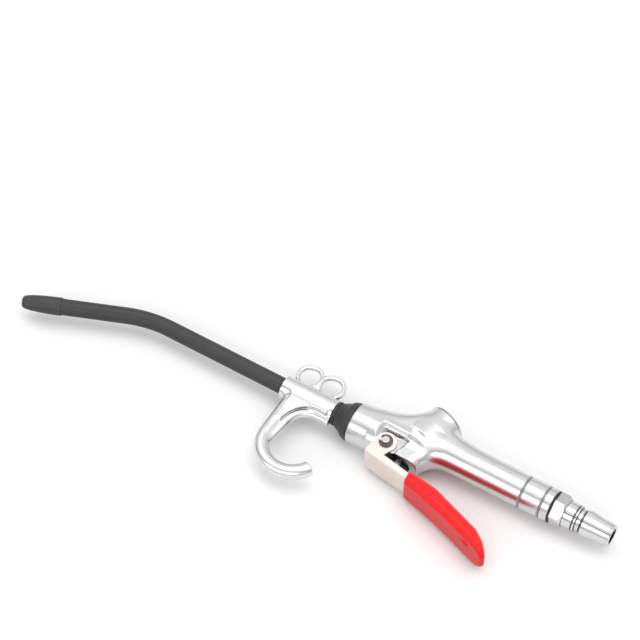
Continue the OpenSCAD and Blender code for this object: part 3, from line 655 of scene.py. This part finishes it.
def lever_pockets(p):
    """The two flats beside the pin, each with a sloping wall behind it."""
    x, y, z = p.T
    high = np.abs(z)
    steep = (WALL_Y - (high - POCKET_FLOOR) * WALL_LEAN - y) * WALL_EVEN
    bevel = (BEVEL_Y - (high - BEVEL_HIGH) * BEVEL_LEAN - y) * BEVEL_EVEN
    wall = soft_min(steep, bevel, 0.25)
    floor = POCKET_FLOOR - high
    rear = POCKET_REAR - (x - VALVE[0]) * math.cos(VALVE_TILT) + y * math.sin(VALVE_TILT)
    front = x - FRONT + POCKET_FRONT_BACK - (high - POCKET_FLOOR) - (y - WALL_Y) * POCKET_FRONT_LEAN
    front *= POCKET_FRONT_EVEN
    sides = soft_max(soft_max(wall, rear, 0.6), front, 0.5)
    return soft_max(sides, floor, 0.35)


# Origin, axis, start, end and radius of the ways through the body: the valve's chamber, seat and outlet,
# the way from the plug and the plug's thread, the way to the barrel and the seat of the wand's adapter
AIR_WAYS = (
    (VALVE, VALVE_AXIS, -8.0, 4.2, 6.0), (VALVE, VALVE_AXIS, 0.0, 12.0, 3.5),
    (VALVE, VALVE_AXIS, 5.2, 10.9, 4.2),
    (np.zeros(3), X_AXIS, 20.0, VALVE[0], 4.0), (np.zeros(3), X_AXIS, 20.0, BODY_START + 11.3, 6.5),
    (BARREL_AT_FRONT, X_AXIS, -30.7, -9.0, 2.8), (BARREL_AT_FRONT, X_AXIS, -10.0, 5.0, 5.0),
)


def body_field(p):
    """The whole cast body: handle, boss, swell, housing and barrel, less the pockets, ways and bores."""
    barrel = bar(p, BARREL_AT_FRONT, X_AXIS, BARREL_BACK, 1.0, BARREL_R, 0.2)
    housing = bar(p, VALVE, VALVE_AXIS, HOUSING_BACK, 2.0, HOUSING_R, 0.3)
    solid = soft_min(plain_handle(p), boss(p), BOSS_BLEND)
    upper = soft_min(swell(p), housing, HOUSING_BLEND)
    upper = soft_min(upper, barrel, BARREL_BLEND)
    solid = soft_min(solid, upper, RIDGE_BLEND(p[:, 0]))
    solid = soft_max(solid, p[:, 0] - FRONT, FACE_ROUND)
    behind = bar(p, VALVE, VALVE_AXIS, -FAR_OFF, HOUSING_BACK, CLEAR_R, TOOL_EDGE)
    solid = cut(cut(solid, behind, 0.4), lever_pockets(p), 0.5)
    gland = bar(p, VALVE, VALVE_AXIS, GLAND_START, FAR_OFF, GLAND_R, TOOL_EDGE)
    cap_bore = bar(p, VALVE, VALVE_AXIS, CAP_BORE_FROM, CAP_BORE_END, CAP_BORE_R, TOOL_EDGE)
    solid = cut(cut(solid, gland, BORE_EDGE), cap_bore, BORE_EDGE)
    for way in AIR_WAYS:
        solid = np.maximum(solid, -bar(p, *way, WAY_EDGE))
    pin_bore = bar(p, PIN, Z_AXIS, -FAR_OFF, FAR_OFF, PIN_BORE_R, TOOL_EDGE)
    return cut(solid, pin_bore, BORE_EDGE)


make_piece("body_skin", [skin_of(
    body_field,
    spaced((29.1, 0), (31, 0.15), (33, 0.8), (34.9, 0.12), (43, 1.2), (45, 0.12), (SWELL_START, 1.2),
           (72.6, 0.6), (129.2, 0.32)),
    spaced((-16.2, 0), (18.6, 0.32)), spaced((-10.2, 0), (10.2, 0.32)),
)], "gun", ["body"], body_alloy)


# The cap on the valve's far end: its face with a ring groove, its rim, its thread and a pocket for the spring

ON_AXIS = 0.001
CAP_FACE = -14.85
CAP_GROOVE = -14.4
CAP_SEAT = -13.98
CAP_POCKET = -11
CAP_END = -7.1
CAP_R = 9.42
CAP_THREAD_R = 6.6
CAP_POCKET_R = 4.7

make_piece("cap_skin", [turned(
    [(CAP_FACE, ON_AXIS, 0), (CAP_FACE, 3.2, 0.1), (CAP_GROOVE, 3.4, 0.1), (CAP_GROOVE, 4.6, 0.1),
     (CAP_FACE, 4.8, 0.1), (CAP_FACE, 9.3, 0.4), (CAP_SEAT, CAP_R, 0.12), (CAP_SEAT, CAP_THREAD_R, 0),
     (CAP_END, CAP_THREAD_R, 0.2), (CAP_END, CAP_POCKET_R, 0.2), (CAP_POCKET, CAP_POCKET_R, 0.2),
     (CAP_POCKET, ON_AXIS, 0)], VALVE, VALVE_AXIS)],
    "gun", ["valve_cap"], cap_alloy)


# The plug with its hexagon

HEX_LEN = 5.8
HEX_START = PLUG_END - HEX_LEN
HEX_FLATS = 14
HEX_TURN = math.radians(49)
HEX_CORNER = 0.5
HEX_EDGE = 0.25
HEX_FACE_R = 6.72
HEX_BORE_R = 5.0
CHAMFER_EVEN = 0.71
COLLAR_R = 6.4
THREAD_R = 6.45
THREAD_LEN = 10
PLUG_BORE_R = 3.75


def hexagon_field(p):
    """The hexagon with a chamfer towards the plug's tip; it is hollow, since the turned plug fills it."""
    x, y, z = p.T
    prism = np.full(len(p), -1e9)
    for k in range(3):
        a = HEX_TURN + math.radians(60 * k)
        flat = np.abs(y * math.cos(a) + z * math.sin(a)) - HEX_FLATS / 2
        prism = soft_max(prism, flat, HEX_CORNER)
    out = np.hypot(y, z)
    ends = np.abs(x - HEX_START - HEX_LEN / 2) - HEX_LEN / 2
    chamfer = (out - HEX_FACE_R - x + HEX_START) * CHAMFER_EVEN
    solid = soft_max(soft_max(prism, ends, HEX_EDGE), chamfer, HEX_EDGE)
    return np.maximum(solid, HEX_BORE_R - out)


plug_turned = turned(
    [(0, PLUG_BORE_R, 0.2), (0, 5.05, 0.2), (0.4, 5.45, 0.2), (0.95, 5.45, 0.15), (1.15, 5.28, 0.1),
     (1.5, 5.28, 0.15), (1.9, 5.5, 0.3), (6.6, 5.65, 4), (8.6, 5.9, 2), (10.6, 6.3, 2), (11.9, COLLAR_R, 1),
     (13.85, COLLAR_R, 0.3), (14.1, 5.15, 0.2), (14.7, 5.15, 0.2), (14.9, 5.6, 0.15), (16.85, 5.6, 0.12),
     (16.95, COLLAR_R, 0.2), (17.8, COLLAR_R, 0.2), (17.85, 5.9, 0.1), (18.4, 5.9, 0.1),
     (18.45, COLLAR_R, 0.25), (PLUG_END, COLLAR_R, 0.1), (PLUG_END, THREAD_R, 0.1),
     (PLUG_END + THREAD_LEN, THREAD_R, 0.4), (PLUG_END + THREAD_LEN, PLUG_BORE_R, 0.3)],
    np.zeros(3), X_AXIS, 128)
make_piece("plug_skin", [
    plug_turned,
    skin_of(hexagon_field, spaced((HEX_START - 0.5, 0), (PLUG_END + 0.5, 0.2)),
            spaced((-8.4, 0), (8.4, 0.2)), spaced((-8.4, 0), (8.4, 0.2)))],
    "gun", ["inlet_plug"], plug_plate)


# The seal between the hexagon and the body

SEAL_R = 7.75
SEAL_BORE_R = 6.5
SEAL_FROM = PLUG_END + 0.02
SEAL_TO = BODY_START - 0.02
make_piece("seal_skin", [turned(
    [(SEAL_FROM, SEAL_BORE_R, 0), (SEAL_FROM, SEAL_R, 0.3), (SEAL_TO, SEAL_R, 0.2),
     (SEAL_TO, SEAL_BORE_R, 0)], np.zeros(3), X_AXIS)],
    "gun", ["inlet_seal"], black_rubber)


# The lever, a channel of sheet that the grip covers behind the valve

# The outer face runs from its front corner A over the bend B to the tail C
SLOPE_AB = math.radians(8.6)
SLOPE_BC = math.radians(19.7)
LEN_AB = 31.7
LEN_BC = 41.5
LEVER_A = PIN[:2] + [7.0, 8.8]
LEVER_B = LEVER_A + [-LEN_AB, LEN_AB * math.tan(SLOPE_AB)]
LEVER_C = LEVER_B + [-LEN_BC, LEN_BC * math.tan(SLOPE_BC)]
LEVER_HALF = 7.3
LEVER_SHEET = 1.3
LEVER_ROUND = 1.5
LEVER_INNER_ROUND = 0.3
LEVER_TAIL_CORNER = 5.6
SHEET_EDGE = 0.3
EAR_R = 5.2
EAR_BLEND = 0.8
FRONT_DEPTH = 3.2
PIN_HOLE_R = 1.86

# Where the grip starts, and the flanges' depth at shares of the way from there to the tail
MOUTH_X = PIN[0] - 17.6
FLANGE_DEPTH = 5.1
FLANGE_SHARES = ((1, 0.3), (0.93, 0.62), (0.81, 1), (0.3, 1), (0.18, 0.8))


def lever_y(x):
    """Height of the lever's outer face over the handle's axis."""
    front = LEVER_A[1] + (LEVER_A[0] - x) * math.tan(SLOPE_AB)
    back = LEVER_B[1] + (LEVER_B[0] - x) * math.tan(SLOPE_BC)
    return np.maximum(front, back)


def over_lever(x, y, blend=2.0):
    """Distance over the lever's outer face, with its bend softened."""
    front = (y - LEVER_A[1] - (LEVER_A[0] - x) * math.tan(SLOPE_AB)) * math.cos(SLOPE_AB)
    back = (y - LEVER_B[1] - (LEVER_B[0] - x) * math.tan(SLOPE_BC)) * math.cos(SLOPE_BC)
    return soft_min(front, back, blend)


def flange_points():
    """The flanges' lower edge inside the grip, from tail to mouth."""
    points = []
    for along, depth in FLANGE_SHARES:
        x = MOUTH_X + (LEVER_C[0] - MOUTH_X) * along
        points.append((x, float(lever_y(x)) - depth * FLANGE_DEPTH / math.cos(SLOPE_BC)))
    return points


def tail_distance(x, z, tail_x, half, corner):
    """Distance in plan to a strip with a rounded tail."""
    return round_corner(tail_x - x, np.abs(z) - half, corner)


def lever_field(p):
    """The sheet between two surfaces, trimmed to an outline whose first three corners lie clear of it."""
    x, y, z = p.T
    top = over_lever(x, y)
    side = np.abs(z) - LEVER_HALF
    outer = round_corner(top, side, LEVER_ROUND)
    inner = round_corner(top + LEVER_SHEET, side + LEVER_SHEET, LEVER_INNER_ROUND)
    outline = [tuple(LEVER_A + [0, 9]), (LEVER_A[0] - 70, LEVER_A[1] + 60),
               (LEVER_C[0] - 3, LEVER_C[1] + 30)]
    outline += flange_points()
    outline += [(MOUTH_X, float(lever_y(MOUTH_X)) - FRONT_DEPTH),
                (PIN[0] - 2.8, float(lever_y(PIN[0])) - FRONT_DEPTH),
                (PIN[0] - EAR_R, PIN[1] + 1.0), (PIN[0] + EAR_R, PIN[1])]
    plate = outline_distance(x, y, outline)
    from_pin = np.hypot(x - PIN[0], y - PIN[1])
    profile = soft_min(plate, from_pin - EAR_R, EAR_BLEND)
    sheet = np.maximum(outer, -inner)
    sheet = soft_max(sheet, profile, SHEET_EDGE)
    sheet = soft_max(sheet, tail_distance(x, z, LEVER_C[0], LEVER_HALF, LEVER_TAIL_CORNER), SHEET_EDGE)
    return cut(sheet, from_pin - PIN_HOLE_R, SHEET_EDGE / 2)


make_piece("lever_skin", [skin_of(
    lever_field,
    spaced((42.4, 0), (89.6, 0.8), (117.2, 0.28)), spaced((7.4, 0), (42.8, 0.28)),
    spaced((-7.7, 0), (-5.5, 0.22), (5.5, 0.8), (7.7, 0.22)),
)], "trigger", ["lever"], lever_sheet)


# The grip, a dipped sock over the lever's tail

GRIP_SKIN = 1.1
GRIP_ROUND = 2.9
GRIP_INNER_ROUND = 1.2
GRIP_BEND_BLEND = 5.0
GRIP_TAIL_CORNER = 6.4
MOUTH_MARGIN = 3
MOUTH_DEPTH = 3.9
DIMPLE = np.array([54.6, float(lever_y(54.6)) + 2.2, 3.4])
DIMPLE_STRETCH = [0.45, 1, 1]
DIMPLE_R = 1.5


def grip_surface(p, cover, rounding):
    """A surface that covers the lever's tail with a skin of some thickness."""
    x, y, z = p.T
    outline = [(MOUTH_X + MOUTH_MARGIN, float(lever_y(MOUTH_X)) + 30), (LEVER_C[0] - 5, LEVER_C[1] + 40),
               (LEVER_C[0] - 5, LEVER_C[1] - 1.5)]
    outline += flange_points()
    outline += [(MOUTH_X + MOUTH_MARGIN, float(lever_y(MOUTH_X)) - MOUTH_DEPTH)]
    below = outline_distance(x, y, outline) - cover
    top = over_lever(x, y, GRIP_BEND_BLEND) - cover
    side = tail_distance(x, z, LEVER_C[0] - cover, LEVER_HALF + cover, GRIP_TAIL_CORNER)
    across = round_corner(top, side, rounding)
    return round_corner(across, below, rounding)


def grip_field(p):
    """The sock, hollow for the lever and open at its mouth, with the dimple left by dipping."""
    shell = cut(grip_surface(p, GRIP_SKIN, GRIP_ROUND), grip_surface(p, 0.0, GRIP_INNER_ROUND), 0.5)
    dimple = np.linalg.norm((p - DIMPLE) * DIMPLE_STRETCH, axis=1) - DIMPLE_R
    shell = cut(shell, dimple, 0.6)
    return soft_max(shell, p[:, 0] - MOUTH_X, 0.7)


make_piece("grip_skin", [skin_of(
    grip_field, spaced((40.4, 0), (92.4, 0.4)), spaced((18.5, 0), (45.2, 0.4)), spaced((-9.2, 0), (9.2, 0.4)),
)], "trigger", ["lever_grip"], red_vinyl)


# Dark rings of painted shade at the bottom of the turned grooves and in the joints

LINE_DEPTH = 0.6
GROOVE_LINE_HALF = 0.12


def line_ring(start, end, radius, origin=(0.0, 0.0, 0.0), axis=X_AXIS):
    """A thin ring of square section."""
    inner = radius - LINE_DEPTH
    return turned([(start, inner, 0), (start, radius, 0), (end, radius, 0), (end, inner, 0)], origin, axis)


make_piece("groove_shade_rings", [
    line_ring(groove - GROOVE_LINE_HALF, groove + GROOVE_LINE_HALF, HANDLE_R - 0.3) for groove in GROOVES
], "gun", [], groove_shade_alloy)
make_piece("joint_shade_rings", [
    line_ring(-0.12, 0.34, 9.25, BARREL_AT_FRONT), line_ring(-14.12, -13.9, 9.4, VALVE, VALVE_AXIS),
    line_ring(14.2, 14.5, 5.22), line_ring(16.6, 16.8, 5.68), line_ring(18.0, 18.3, 5.98),
    line_ring(HEX_START - 0.05, HEX_START + 0.1, 6.6),
], "gun", [], joint_painted_shade)


# The hinge pin, with a head below and a groove for the clip above

PIN_R = 1.8
CLIP_GROOVE_R = 1.3

make_piece("pin_skin", [turned(
    [(-8.5, ON_AXIS, 0), (-8.5, 2.7, 0.5), (-7.42, 3.3, 0.4), (-7.42, PIN_R, 0.05), (7.45, PIN_R, 0.03),
     (7.45, CLIP_GROOVE_R, 0.03), (8.05, CLIP_GROOVE_R, 0.03), (8.05, PIN_R, 0.05), (9.05, PIN_R, 0.35),
     (9.05, ON_AXIS, 0)], PIN, Z_AXIS, 64)], "gun", ["lever_pin"], pin_steel)


# The valve's spring, made at one length

SPRING_R = 3.8
SPRING_WIRE_R = 0.45
SPRING_START = -10.5
SPRING_LEN = 10.0
FLAT_TURN = 0.35


def spring_coil(curls=5, steps=28, sides=8):
    """A round wire wound about the valve's axis, with part of a turn flat at each end."""
    side = np.cross(VALVE_AXIS, Z_AXIS)
    points, normals, faces = [], [], []
    count = curls * steps + 1
    for i in range(count):
        turn = i / steps
        rise = min(1.0, max(0.0, (turn - FLAT_TURN) / (curls - 2 * FLAT_TURN)))
        out = side * math.cos(2 * math.pi * turn) + Z_AXIS * math.sin(2 * math.pi * turn)
        centre = VALVE + VALVE_AXIS * (SPRING_START + SPRING_LEN * rise) + out * SPRING_R
        for k in range(sides):
            a = 2 * math.pi * k / sides
            normal = out * math.cos(a) + VALVE_AXIS * math.sin(a)
            points.append(centre + normal * SPRING_WIRE_R)
            normals.append(normal)
    for i in range(count - 1):
        for k in range(sides):
            a, b = i * sides + k, i * sides + (k + 1) % sides
            faces.append([a, b, b + sides, a + sides])
    for end in (0, (count - 1) * sides):
        for k in range(1, sides - 1, 2):
            faces.append([end, end + k, end + k + 1, end + (k + 2) % sides])
    return np.array(points), faces, np.array(normals)


spring_skin = make_piece("spring_skin", [spring_coil()], "gun", ["valve_spring"], spring_wire)
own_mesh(spring_skin)


# The boot between the barrel and the wand

BOOT_SEAT = 4.5
BOOT_SEAT_R = 6.6
BOOT_BORE_R = 4.02

make_piece("boot_skin", [turned(
    [(0, BOOT_SEAT_R, 0), (0, 8.9, 0.05), (0.3, 8.9, 0.05), (0.35, 9.45, 0.12), (1.6, 9.45, 0.3),
     (1.8, 9.2, 0.15), (3.2, 9.0, 0.9), (5, 7.55, 0.9), (8.6, 5.75, 0.2), (8.7, 5.4, 0.1), (9.05, 5.4, 0.1),
     (9.1, 5.9, 0.15), (10.35, 5.8, 0.3), (10.35, BOOT_BORE_R, 0.1), (BOOT_SEAT, BOOT_BORE_R, 0.1),
     (BOOT_SEAT, BOOT_SEAT_R, 0.1)], BARREL_AT_FRONT, X_AXIS, 112)],
    "gun", ["nozzle_boot"], boot_rubber)


# The wand's sleeve and tip

WAND_R = 4.0
WAND_BORE_R = 3.02
WAND_START = FRONT + 4.4
CORNER_X = FRONT + 114.3
CORNER_TO_TIP = 43.0
TIP_BORE_R = 1.5
TIP_SEAT = 14.5
TIP_LEN = 19.45
BEND_ANGLE = math.radians(22.1)
BEND_R = 60.0
BEND_TANGENT = BEND_R * math.tan(BEND_ANGLE / 2)
BEND_START = CORNER_X - BEND_TANGENT
SLEEVE_END = CORNER_TO_TIP - BEND_TANGENT
END_AXIS = np.array([math.cos(BEND_ANGLE), math.sin(BEND_ANGLE), 0.0])
BEND_CENTRE = np.array([BEND_START, BARREL_Y + BEND_R, 0.0])
BEND_END = BEND_CENTRE + BEND_R * np.array([math.sin(BEND_ANGLE), -math.cos(BEND_ANGLE), 0.0])
TIP_START = BEND_END + END_AXIS * SLEEVE_END


def wand_route():
    """Points and directions along the middle of the sleeve."""
    route = [(np.array([x, BARREL_Y, 0.0]), X_AXIS) for x in np.linspace(WAND_START, BEND_START, 60)]
    for a in np.linspace(0, BEND_ANGLE, 26)[1:]:
        heading = np.array([math.cos(a), math.sin(a), 0.0])
        route.append((BEND_CENTRE + BEND_R * np.array([math.sin(a), -math.cos(a), 0.0]), heading))
    for d in np.linspace(0, SLEEVE_END - 0.02, 14)[1:]:
        route.append((BEND_END + END_AXIS * d, END_AXIS))
    return route


def swept_sleeve(outer, inner, sides=64):
    """A hollow sleeve along the wand's route."""
    route = wand_route()
    points, normals = [], []
    for radius, turn in ((outer, 1), (inner, -1)):
        for place, heading in route:
            across = np.cross(Z_AXIS, heading)
            for k in range(sides):
                a = 2 * math.pi * k / sides
                out = across * math.cos(a) + Z_AXIS * math.sin(a)
                points.append(place + out * radius)
                normals.append(out * turn)
    rings = len(route)
    faces = []
    for layer in (0, 1):
        for i in range(rings - 1):
            for k in range(sides):
                a = (layer * rings + i) * sides + k
                b = (layer * rings + i) * sides + (k + 1) % sides
                faces.append([a, b, b + sides, a + sides] if layer else [a, a + sides, b + sides, b])
    for i, turn in ((0, 1), (rings - 1, -1)):
        for k in range(sides):
            a, b = i * sides + k, i * sides + (k + 1) % sides
            c, d = b + rings * sides, a + rings * sides
            faces.append([a, b, c, d][::turn])
    return np.array(points), faces, np.array(normals)


make_piece("wand_skin", [swept_sleeve(WAND_R, WAND_BORE_R)],
           "gun", ["wand_sleeve"], sleeve_plastic)
make_piece("tip_skin", [turned(
    [(0.02, WAND_BORE_R, 0), (0.02, 4.2, 0.1), (0.5, 4.4, 0.3), (5.9, 4.34, 6), (10.7, 4.14, 6),
     (14.6, 3.83, 5), (17.6, 3.34, 3), (18.8, 2.95, 1), (TIP_LEN, 2.3, 0.5), (TIP_LEN, TIP_BORE_R, 0.25),
     (TIP_SEAT, TIP_BORE_R, 0.1), (TIP_SEAT, WAND_BORE_R, 0)], TIP_START, END_AXIS)],
    "gun", ["nozzle_tip"], tip_rubber)


# The hanger: a sleeve with two eyes on one side and a hook on the other

HANGER_START = 10.5
HANGER_LEN = 28.0
HANGER_BACK = FRONT + HANGER_START
HANGER_FRONT = HANGER_BACK + HANGER_LEN
HANGER_R = 5.8
HANGER_BORE_R = 4.05

STEM_X = HANGER_FRONT - 6.3
ROD_R = 3.6
HOOK_R = 14.4
HOOK_CENTRE = np.array([STEM_X - HOOK_R, BARREL_Y + 25.8, 0.0])
HOOK_END = math.radians(153)
HOOK_RUN = 165

EYE_R = 5.8
EYE_WIRE = 1.05
EYE_HALF = 1.3
EYE_ROUND = 0.95
EYE_Y = BARREL_Y - HANGER_R - (EYE_R - EYE_WIRE) - 0.3
EYES_APART = 11.8
EYES_X = (HANGER_FRONT - 7.3, HANGER_FRONT - 7.3 - EYES_APART)
BETWEEN_EYES = np.array([HANGER_FRONT - 13.2, BARREL_Y - 5.6, 0.0])
FILLET_R = 1.2

# The web's rounded corner and its thicker rim, about a common centre
GUSSET = np.array([STEM_X - 15.4, BARREL_Y + 17.2, 0.0])
GUSSET_R = 12.6
RIM_R = 11.2
RIM_ROD_R = 2.1
WEB_THIN = 3.4
WEB_GAIN = 1.3
WEB_THIN_Y = 17.5
WEB_THICKEN = 6.0
HOOK_CLEAR_Y = 28.0


def eye(p, x):
    """A flat ring with well rounded edges."""
    offset = p - [x, EYE_Y, 0.0]
    out = np.abs(np.hypot(offset[:, 0], offset[:, 1]) - EYE_R) - EYE_WIRE
    return round_corner(out, np.abs(offset[:, 2]) - EYE_HALF, EYE_ROUND)


def web(p):
    """The thin wall between the sleeve and the stem, hollowed by a round."""
    x, y, z = p.T
    corner = np.maximum(x - STEM_X, GUSSET[0] - 4.0 - x)
    corner = np.maximum(corner, np.maximum(BARREL_Y - y, y - GUSSET[1] - 1.0))
    hollow = np.hypot(x - GUSSET[0], y - GUSSET[1]) - GUSSET_R
    flat = np.maximum(corner, -hollow)
    thick = WEB_THIN + WEB_GAIN * np.clip((WEB_THIN_Y - y) / WEB_THICKEN, 0.0, 1.0)
    return soft_max(flat, np.abs(z) - thick, 0.6)


def hanger_field(p):
    """The sleeve, the stem and hook with a web and rim in their corner, and the two eyes."""
    sleeve = bar(p, BARREL_AT_FRONT, X_AXIS, HANGER_START, HANGER_START + HANGER_LEN, HANGER_R, 0.45)
    stem = capsule(p, np.array([STEM_X, BARREL_Y + 2, 0.0]), np.array([STEM_X, HOOK_CENTRE[1], 0.0]), ROD_R)
    past_end = (p - HOOK_CENTRE) @ np.array([-math.sin(HOOK_END), math.cos(HOOK_END), 0.0])
    arc = soft_max(ring_arc(p, HOOK_CENTRE, HOOK_R, ROD_R, 0, HOOK_RUN), past_end, 0.8)
    rim = ring_arc(p, GUSSET, RIM_R, RIM_ROD_R, -92, 0)
    low, high = GUSSET - [0.0, RIM_R, 0.0], GUSSET + [RIM_R, 0.0, 0.0]
    rim = np.minimum(rim, capsule(p, low, low - [9.0, 0.0, 0.0], RIM_ROD_R))
    rim = np.minimum(rim, capsule(p, high, high + [1.4, 12.0, 0.0], RIM_ROD_R))
    hook = np.minimum(stem, arc)
    hook = soft_min(hook, rim, 1.0)
    hook = soft_min(hook, web(p), 0.7)
    solid = soft_min(sleeve, hook, 1.6)
    for x in EYES_X:
        solid = soft_min(solid, eye(p, x), 1.0)
    solid = soft_min(solid, capsule(p, BETWEEN_EYES, BETWEEN_EYES - [0.0, 1.4, 0.0], FILLET_R), 0.8)
    back = np.where(p[:, 1] < HOOK_CLEAR_Y, HANGER_BACK - p[:, 0], -9.0)
    solid = soft_max(solid, back, 0.5)
    return cut(solid, bar(p, BARREL_AT_FRONT, X_AXIS, 0.0, 60.0, HANGER_BORE_R, TOOL_EDGE), 0.35)


make_piece("hanger_skin", [skin_of(
    hanger_field,
    spaced((127.4, 0), (168.6, 0.33)), spaced((-10.6, 0), (53, 0.33)), spaced((-6.6, 0), (6.6, 0.33)),
)], "hook", ["hanger"], hanger_plate)


# The camera, at the photograph's angle

CAMERA_TURN = math.radians(31.7)
CAMERA_LIFT = math.radians(53.0)
CAMERA_DISTANCE = 1.0
FOCAL_PIXELS = 2250.0
IMAGE_PIXELS = 640.0
SENSOR = 36.0
BORE_PIXEL = (611.3, 535.8)
ANCHOR_X = 0.6 * MM
FAR_SIDE = (math.sin(CAMERA_TURN), -math.cos(CAMERA_TURN), 0.0)
GAP_ANGLE = math.radians(32.6)
GAP_SIDE = (0.0, math.cos(GAP_ANGLE), -math.sin(GAP_ANGLE))


# The floor, the backdrop and the light; the floor is paler to mirrors and the camera than to its surroundings

FLOOR_REACH = 3.0
FLOOR_MIDDLE_X = 0.16
FLOOR_TONE = 0.25
FLOOR_MIRRORED = 0.58
FLOOR_SEEN = 0.69
GAP_TONE = 0.1
LAMP_LEN = 2.4
LAMP_MIDDLE = Vector((0.15, 0.0, 0.0))


def make_floor():
    mesh = bpy.data.meshes.new("floor")
    corners = [(x * FLOOR_REACH, y * FLOOR_REACH, 0) for x, y in ((-1, -1), (1, -1), (1, 1), (-1, 1))]
    mesh.from_pydata(corners, [], [(0, 1, 2, 3)])
    floor = bpy.data.objects.new("floor", mesh)
    bpy.context.scene.collection.objects.link(floor)
    floor.location = (FLOOR_MIDDLE_X, 0.0, FLOOR_Z * MM)
    n = Nodes("floor_white")
    n.tree.nodes.remove(n.shader)
    paths = n.add("ShaderNodeLightPath")
    mirrored = n.math("MAXIMUM", paths.outputs["Is Glossy Ray"], paths.outputs["Is Transmission Ray"])
    tone = n.math("MULTIPLY_ADD", mirrored, FLOOR_MIRRORED, FLOOR_TONE)
    tone = n.math("MULTIPLY_ADD", paths.outputs["Is Camera Ray"], FLOOR_SEEN, tone)
    paper = n.add("ShaderNodeBsdfDiffuse", Color=tone)
    n.put(n.output.inputs["Surface"], paper.outputs[0])
    mesh.materials.append(n.material)


def make_world():
    """A pale studio: brighter on the far side, with a narrow dark gap between the two strips of light."""
    world = bpy.data.worlds.new("studio")
    bpy.context.scene.world = world
    world.use_nodes = True
    tree = world.node_tree
    back = tree.nodes["Background"]
    place = tree.nodes.new("ShaderNodeTexCoord").outputs["Generated"]

    def towards(direction, *stops, scale=1.0, shift=0.0):
        """A grey that follows how nearly a view runs towards a direction."""
        dot = tree.nodes.new("ShaderNodeVectorMath")
        dot.operation = "DOT_PRODUCT"
        tree.links.new(place, dot.inputs[0])
        dot.inputs[1].default_value = direction
        moved = tree.nodes.new("ShaderNodeMath")
        moved.operation = "MULTIPLY_ADD"
        tree.links.new(dot.outputs["Value"], moved.inputs[0])
        moved.inputs[1].default_value = scale
        moved.inputs[2].default_value = shift
        ramp = tree.nodes.new("ShaderNodeValToRGB")
        for _ in stops[2:]:
            ramp.color_ramp.elements.new(0.5)
        for element, (at, tone) in zip(ramp.color_ramp.elements, stops):
            element.position = at
            element.color = grey(tone)
        tree.links.new(moved.outputs[0], ramp.inputs[0])
        return ramp.outputs[0]

    def blend(factor, under, over):
        """One grey over another, which may be a plain value, by a factor."""
        mix = tree.nodes.new("ShaderNodeMix")
        mix.data_type = "RGBA"
        tree.links.new(factor, mix.inputs["Factor"])
        tree.links.new(under, mix.inputs[6])
        if isinstance(over, bpy.types.NodeSocket):
            tree.links.new(over, mix.inputs[7])
        else:
            mix.inputs[7].default_value = over
        return mix.outputs[2]

    near = towards((0, 0, 1), (0.0, 0.5), (0.25, 0.7), (0.6, 0.9), (1.0, 0.95))
    far = towards((0, 0, 1), (0.0, 0.6), (0.34, 0.68), (0.52, 0.88), (1.0, 0.98))
    tone = blend(towards(FAR_SIDE, (0.35, 0.0), (0.75, 1.0)), near, far)
    gap = towards(GAP_SIDE, (0.46, 0.0), (0.485, 1.0), (0.515, 1.0), (0.54, 0.0), scale=0.5, shift=0.5)
    tone = blend(gap, tone, grey(GAP_TONE))
    tree.links.new(tone, back.inputs["Color"])


def add_strip(name, angle, distance, width, power):
    """A soft strip along X, turned by degrees about X from straight above towards the lever."""
    lamp = bpy.data.lights.new(name, "AREA")
    lamp.shape = "RECTANGLE"
    lamp.size, lamp.size_y = LAMP_LEN, width
    lamp.energy = power
    a = math.radians(angle)
    towards = Vector((0.0, math.sin(a), math.cos(a)))
    along = Vector((1.0, 0.0, 0.0))
    item = bpy.data.objects.new(name, lamp)
    basis = Matrix((along, towards.cross(along), towards)).transposed().to_4x4()
    item.matrix_world = Matrix.Translation(LAMP_MIDDLE + towards * distance) @ basis
    bpy.context.scene.collection.objects.link(item)


def make_camera():
    """The plug's bore lies on its pixel of the photograph, and the camera stands a metre off."""
    right = Vector((-math.cos(CAMERA_TURN), -math.sin(CAMERA_TURN), 0))
    away = Vector((math.sin(CAMERA_TURN), -math.cos(CAMERA_TURN), 0))
    forward = away * math.cos(CAMERA_LIFT) - Vector((0, 0, 1)) * math.sin(CAMERA_LIFT)
    up = away * math.sin(CAMERA_LIFT) + Vector((0, 0, 1)) * math.cos(CAMERA_LIFT)
    centre = IMAGE_PIXELS / 2
    across = (BORE_PIXEL[0] - centre) / FOCAL_PIXELS
    down = (BORE_PIXEL[1] - centre) / FOCAL_PIXELS
    position = Vector((ANCHOR_X, 0, 0)) - (forward + right * across - up * down) * CAMERA_DISTANCE
    camera = bpy.data.cameras.new("camera")
    camera.sensor_width = SENSOR
    camera.lens = FOCAL_PIXELS / IMAGE_PIXELS * SENSOR
    camera.clip_start = 0.01
    item = bpy.data.objects.new("camera", camera)
    basis = Matrix((right, up, -forward)).transposed().to_4x4()
    item.matrix_world = Matrix.Translation(position) @ basis
    bpy.context.scene.collection.objects.link(item)
    bpy.context.scene.camera = item


make_floor()
make_world()
add_strip("key", angle=-8, distance=1.5, width=0.85, power=8.2)
add_strip("fill", angle=56, distance=1.6, width=0.75, power=6.8)
make_camera()
bpy.context.scene.view_settings.view_transform = "Standard"
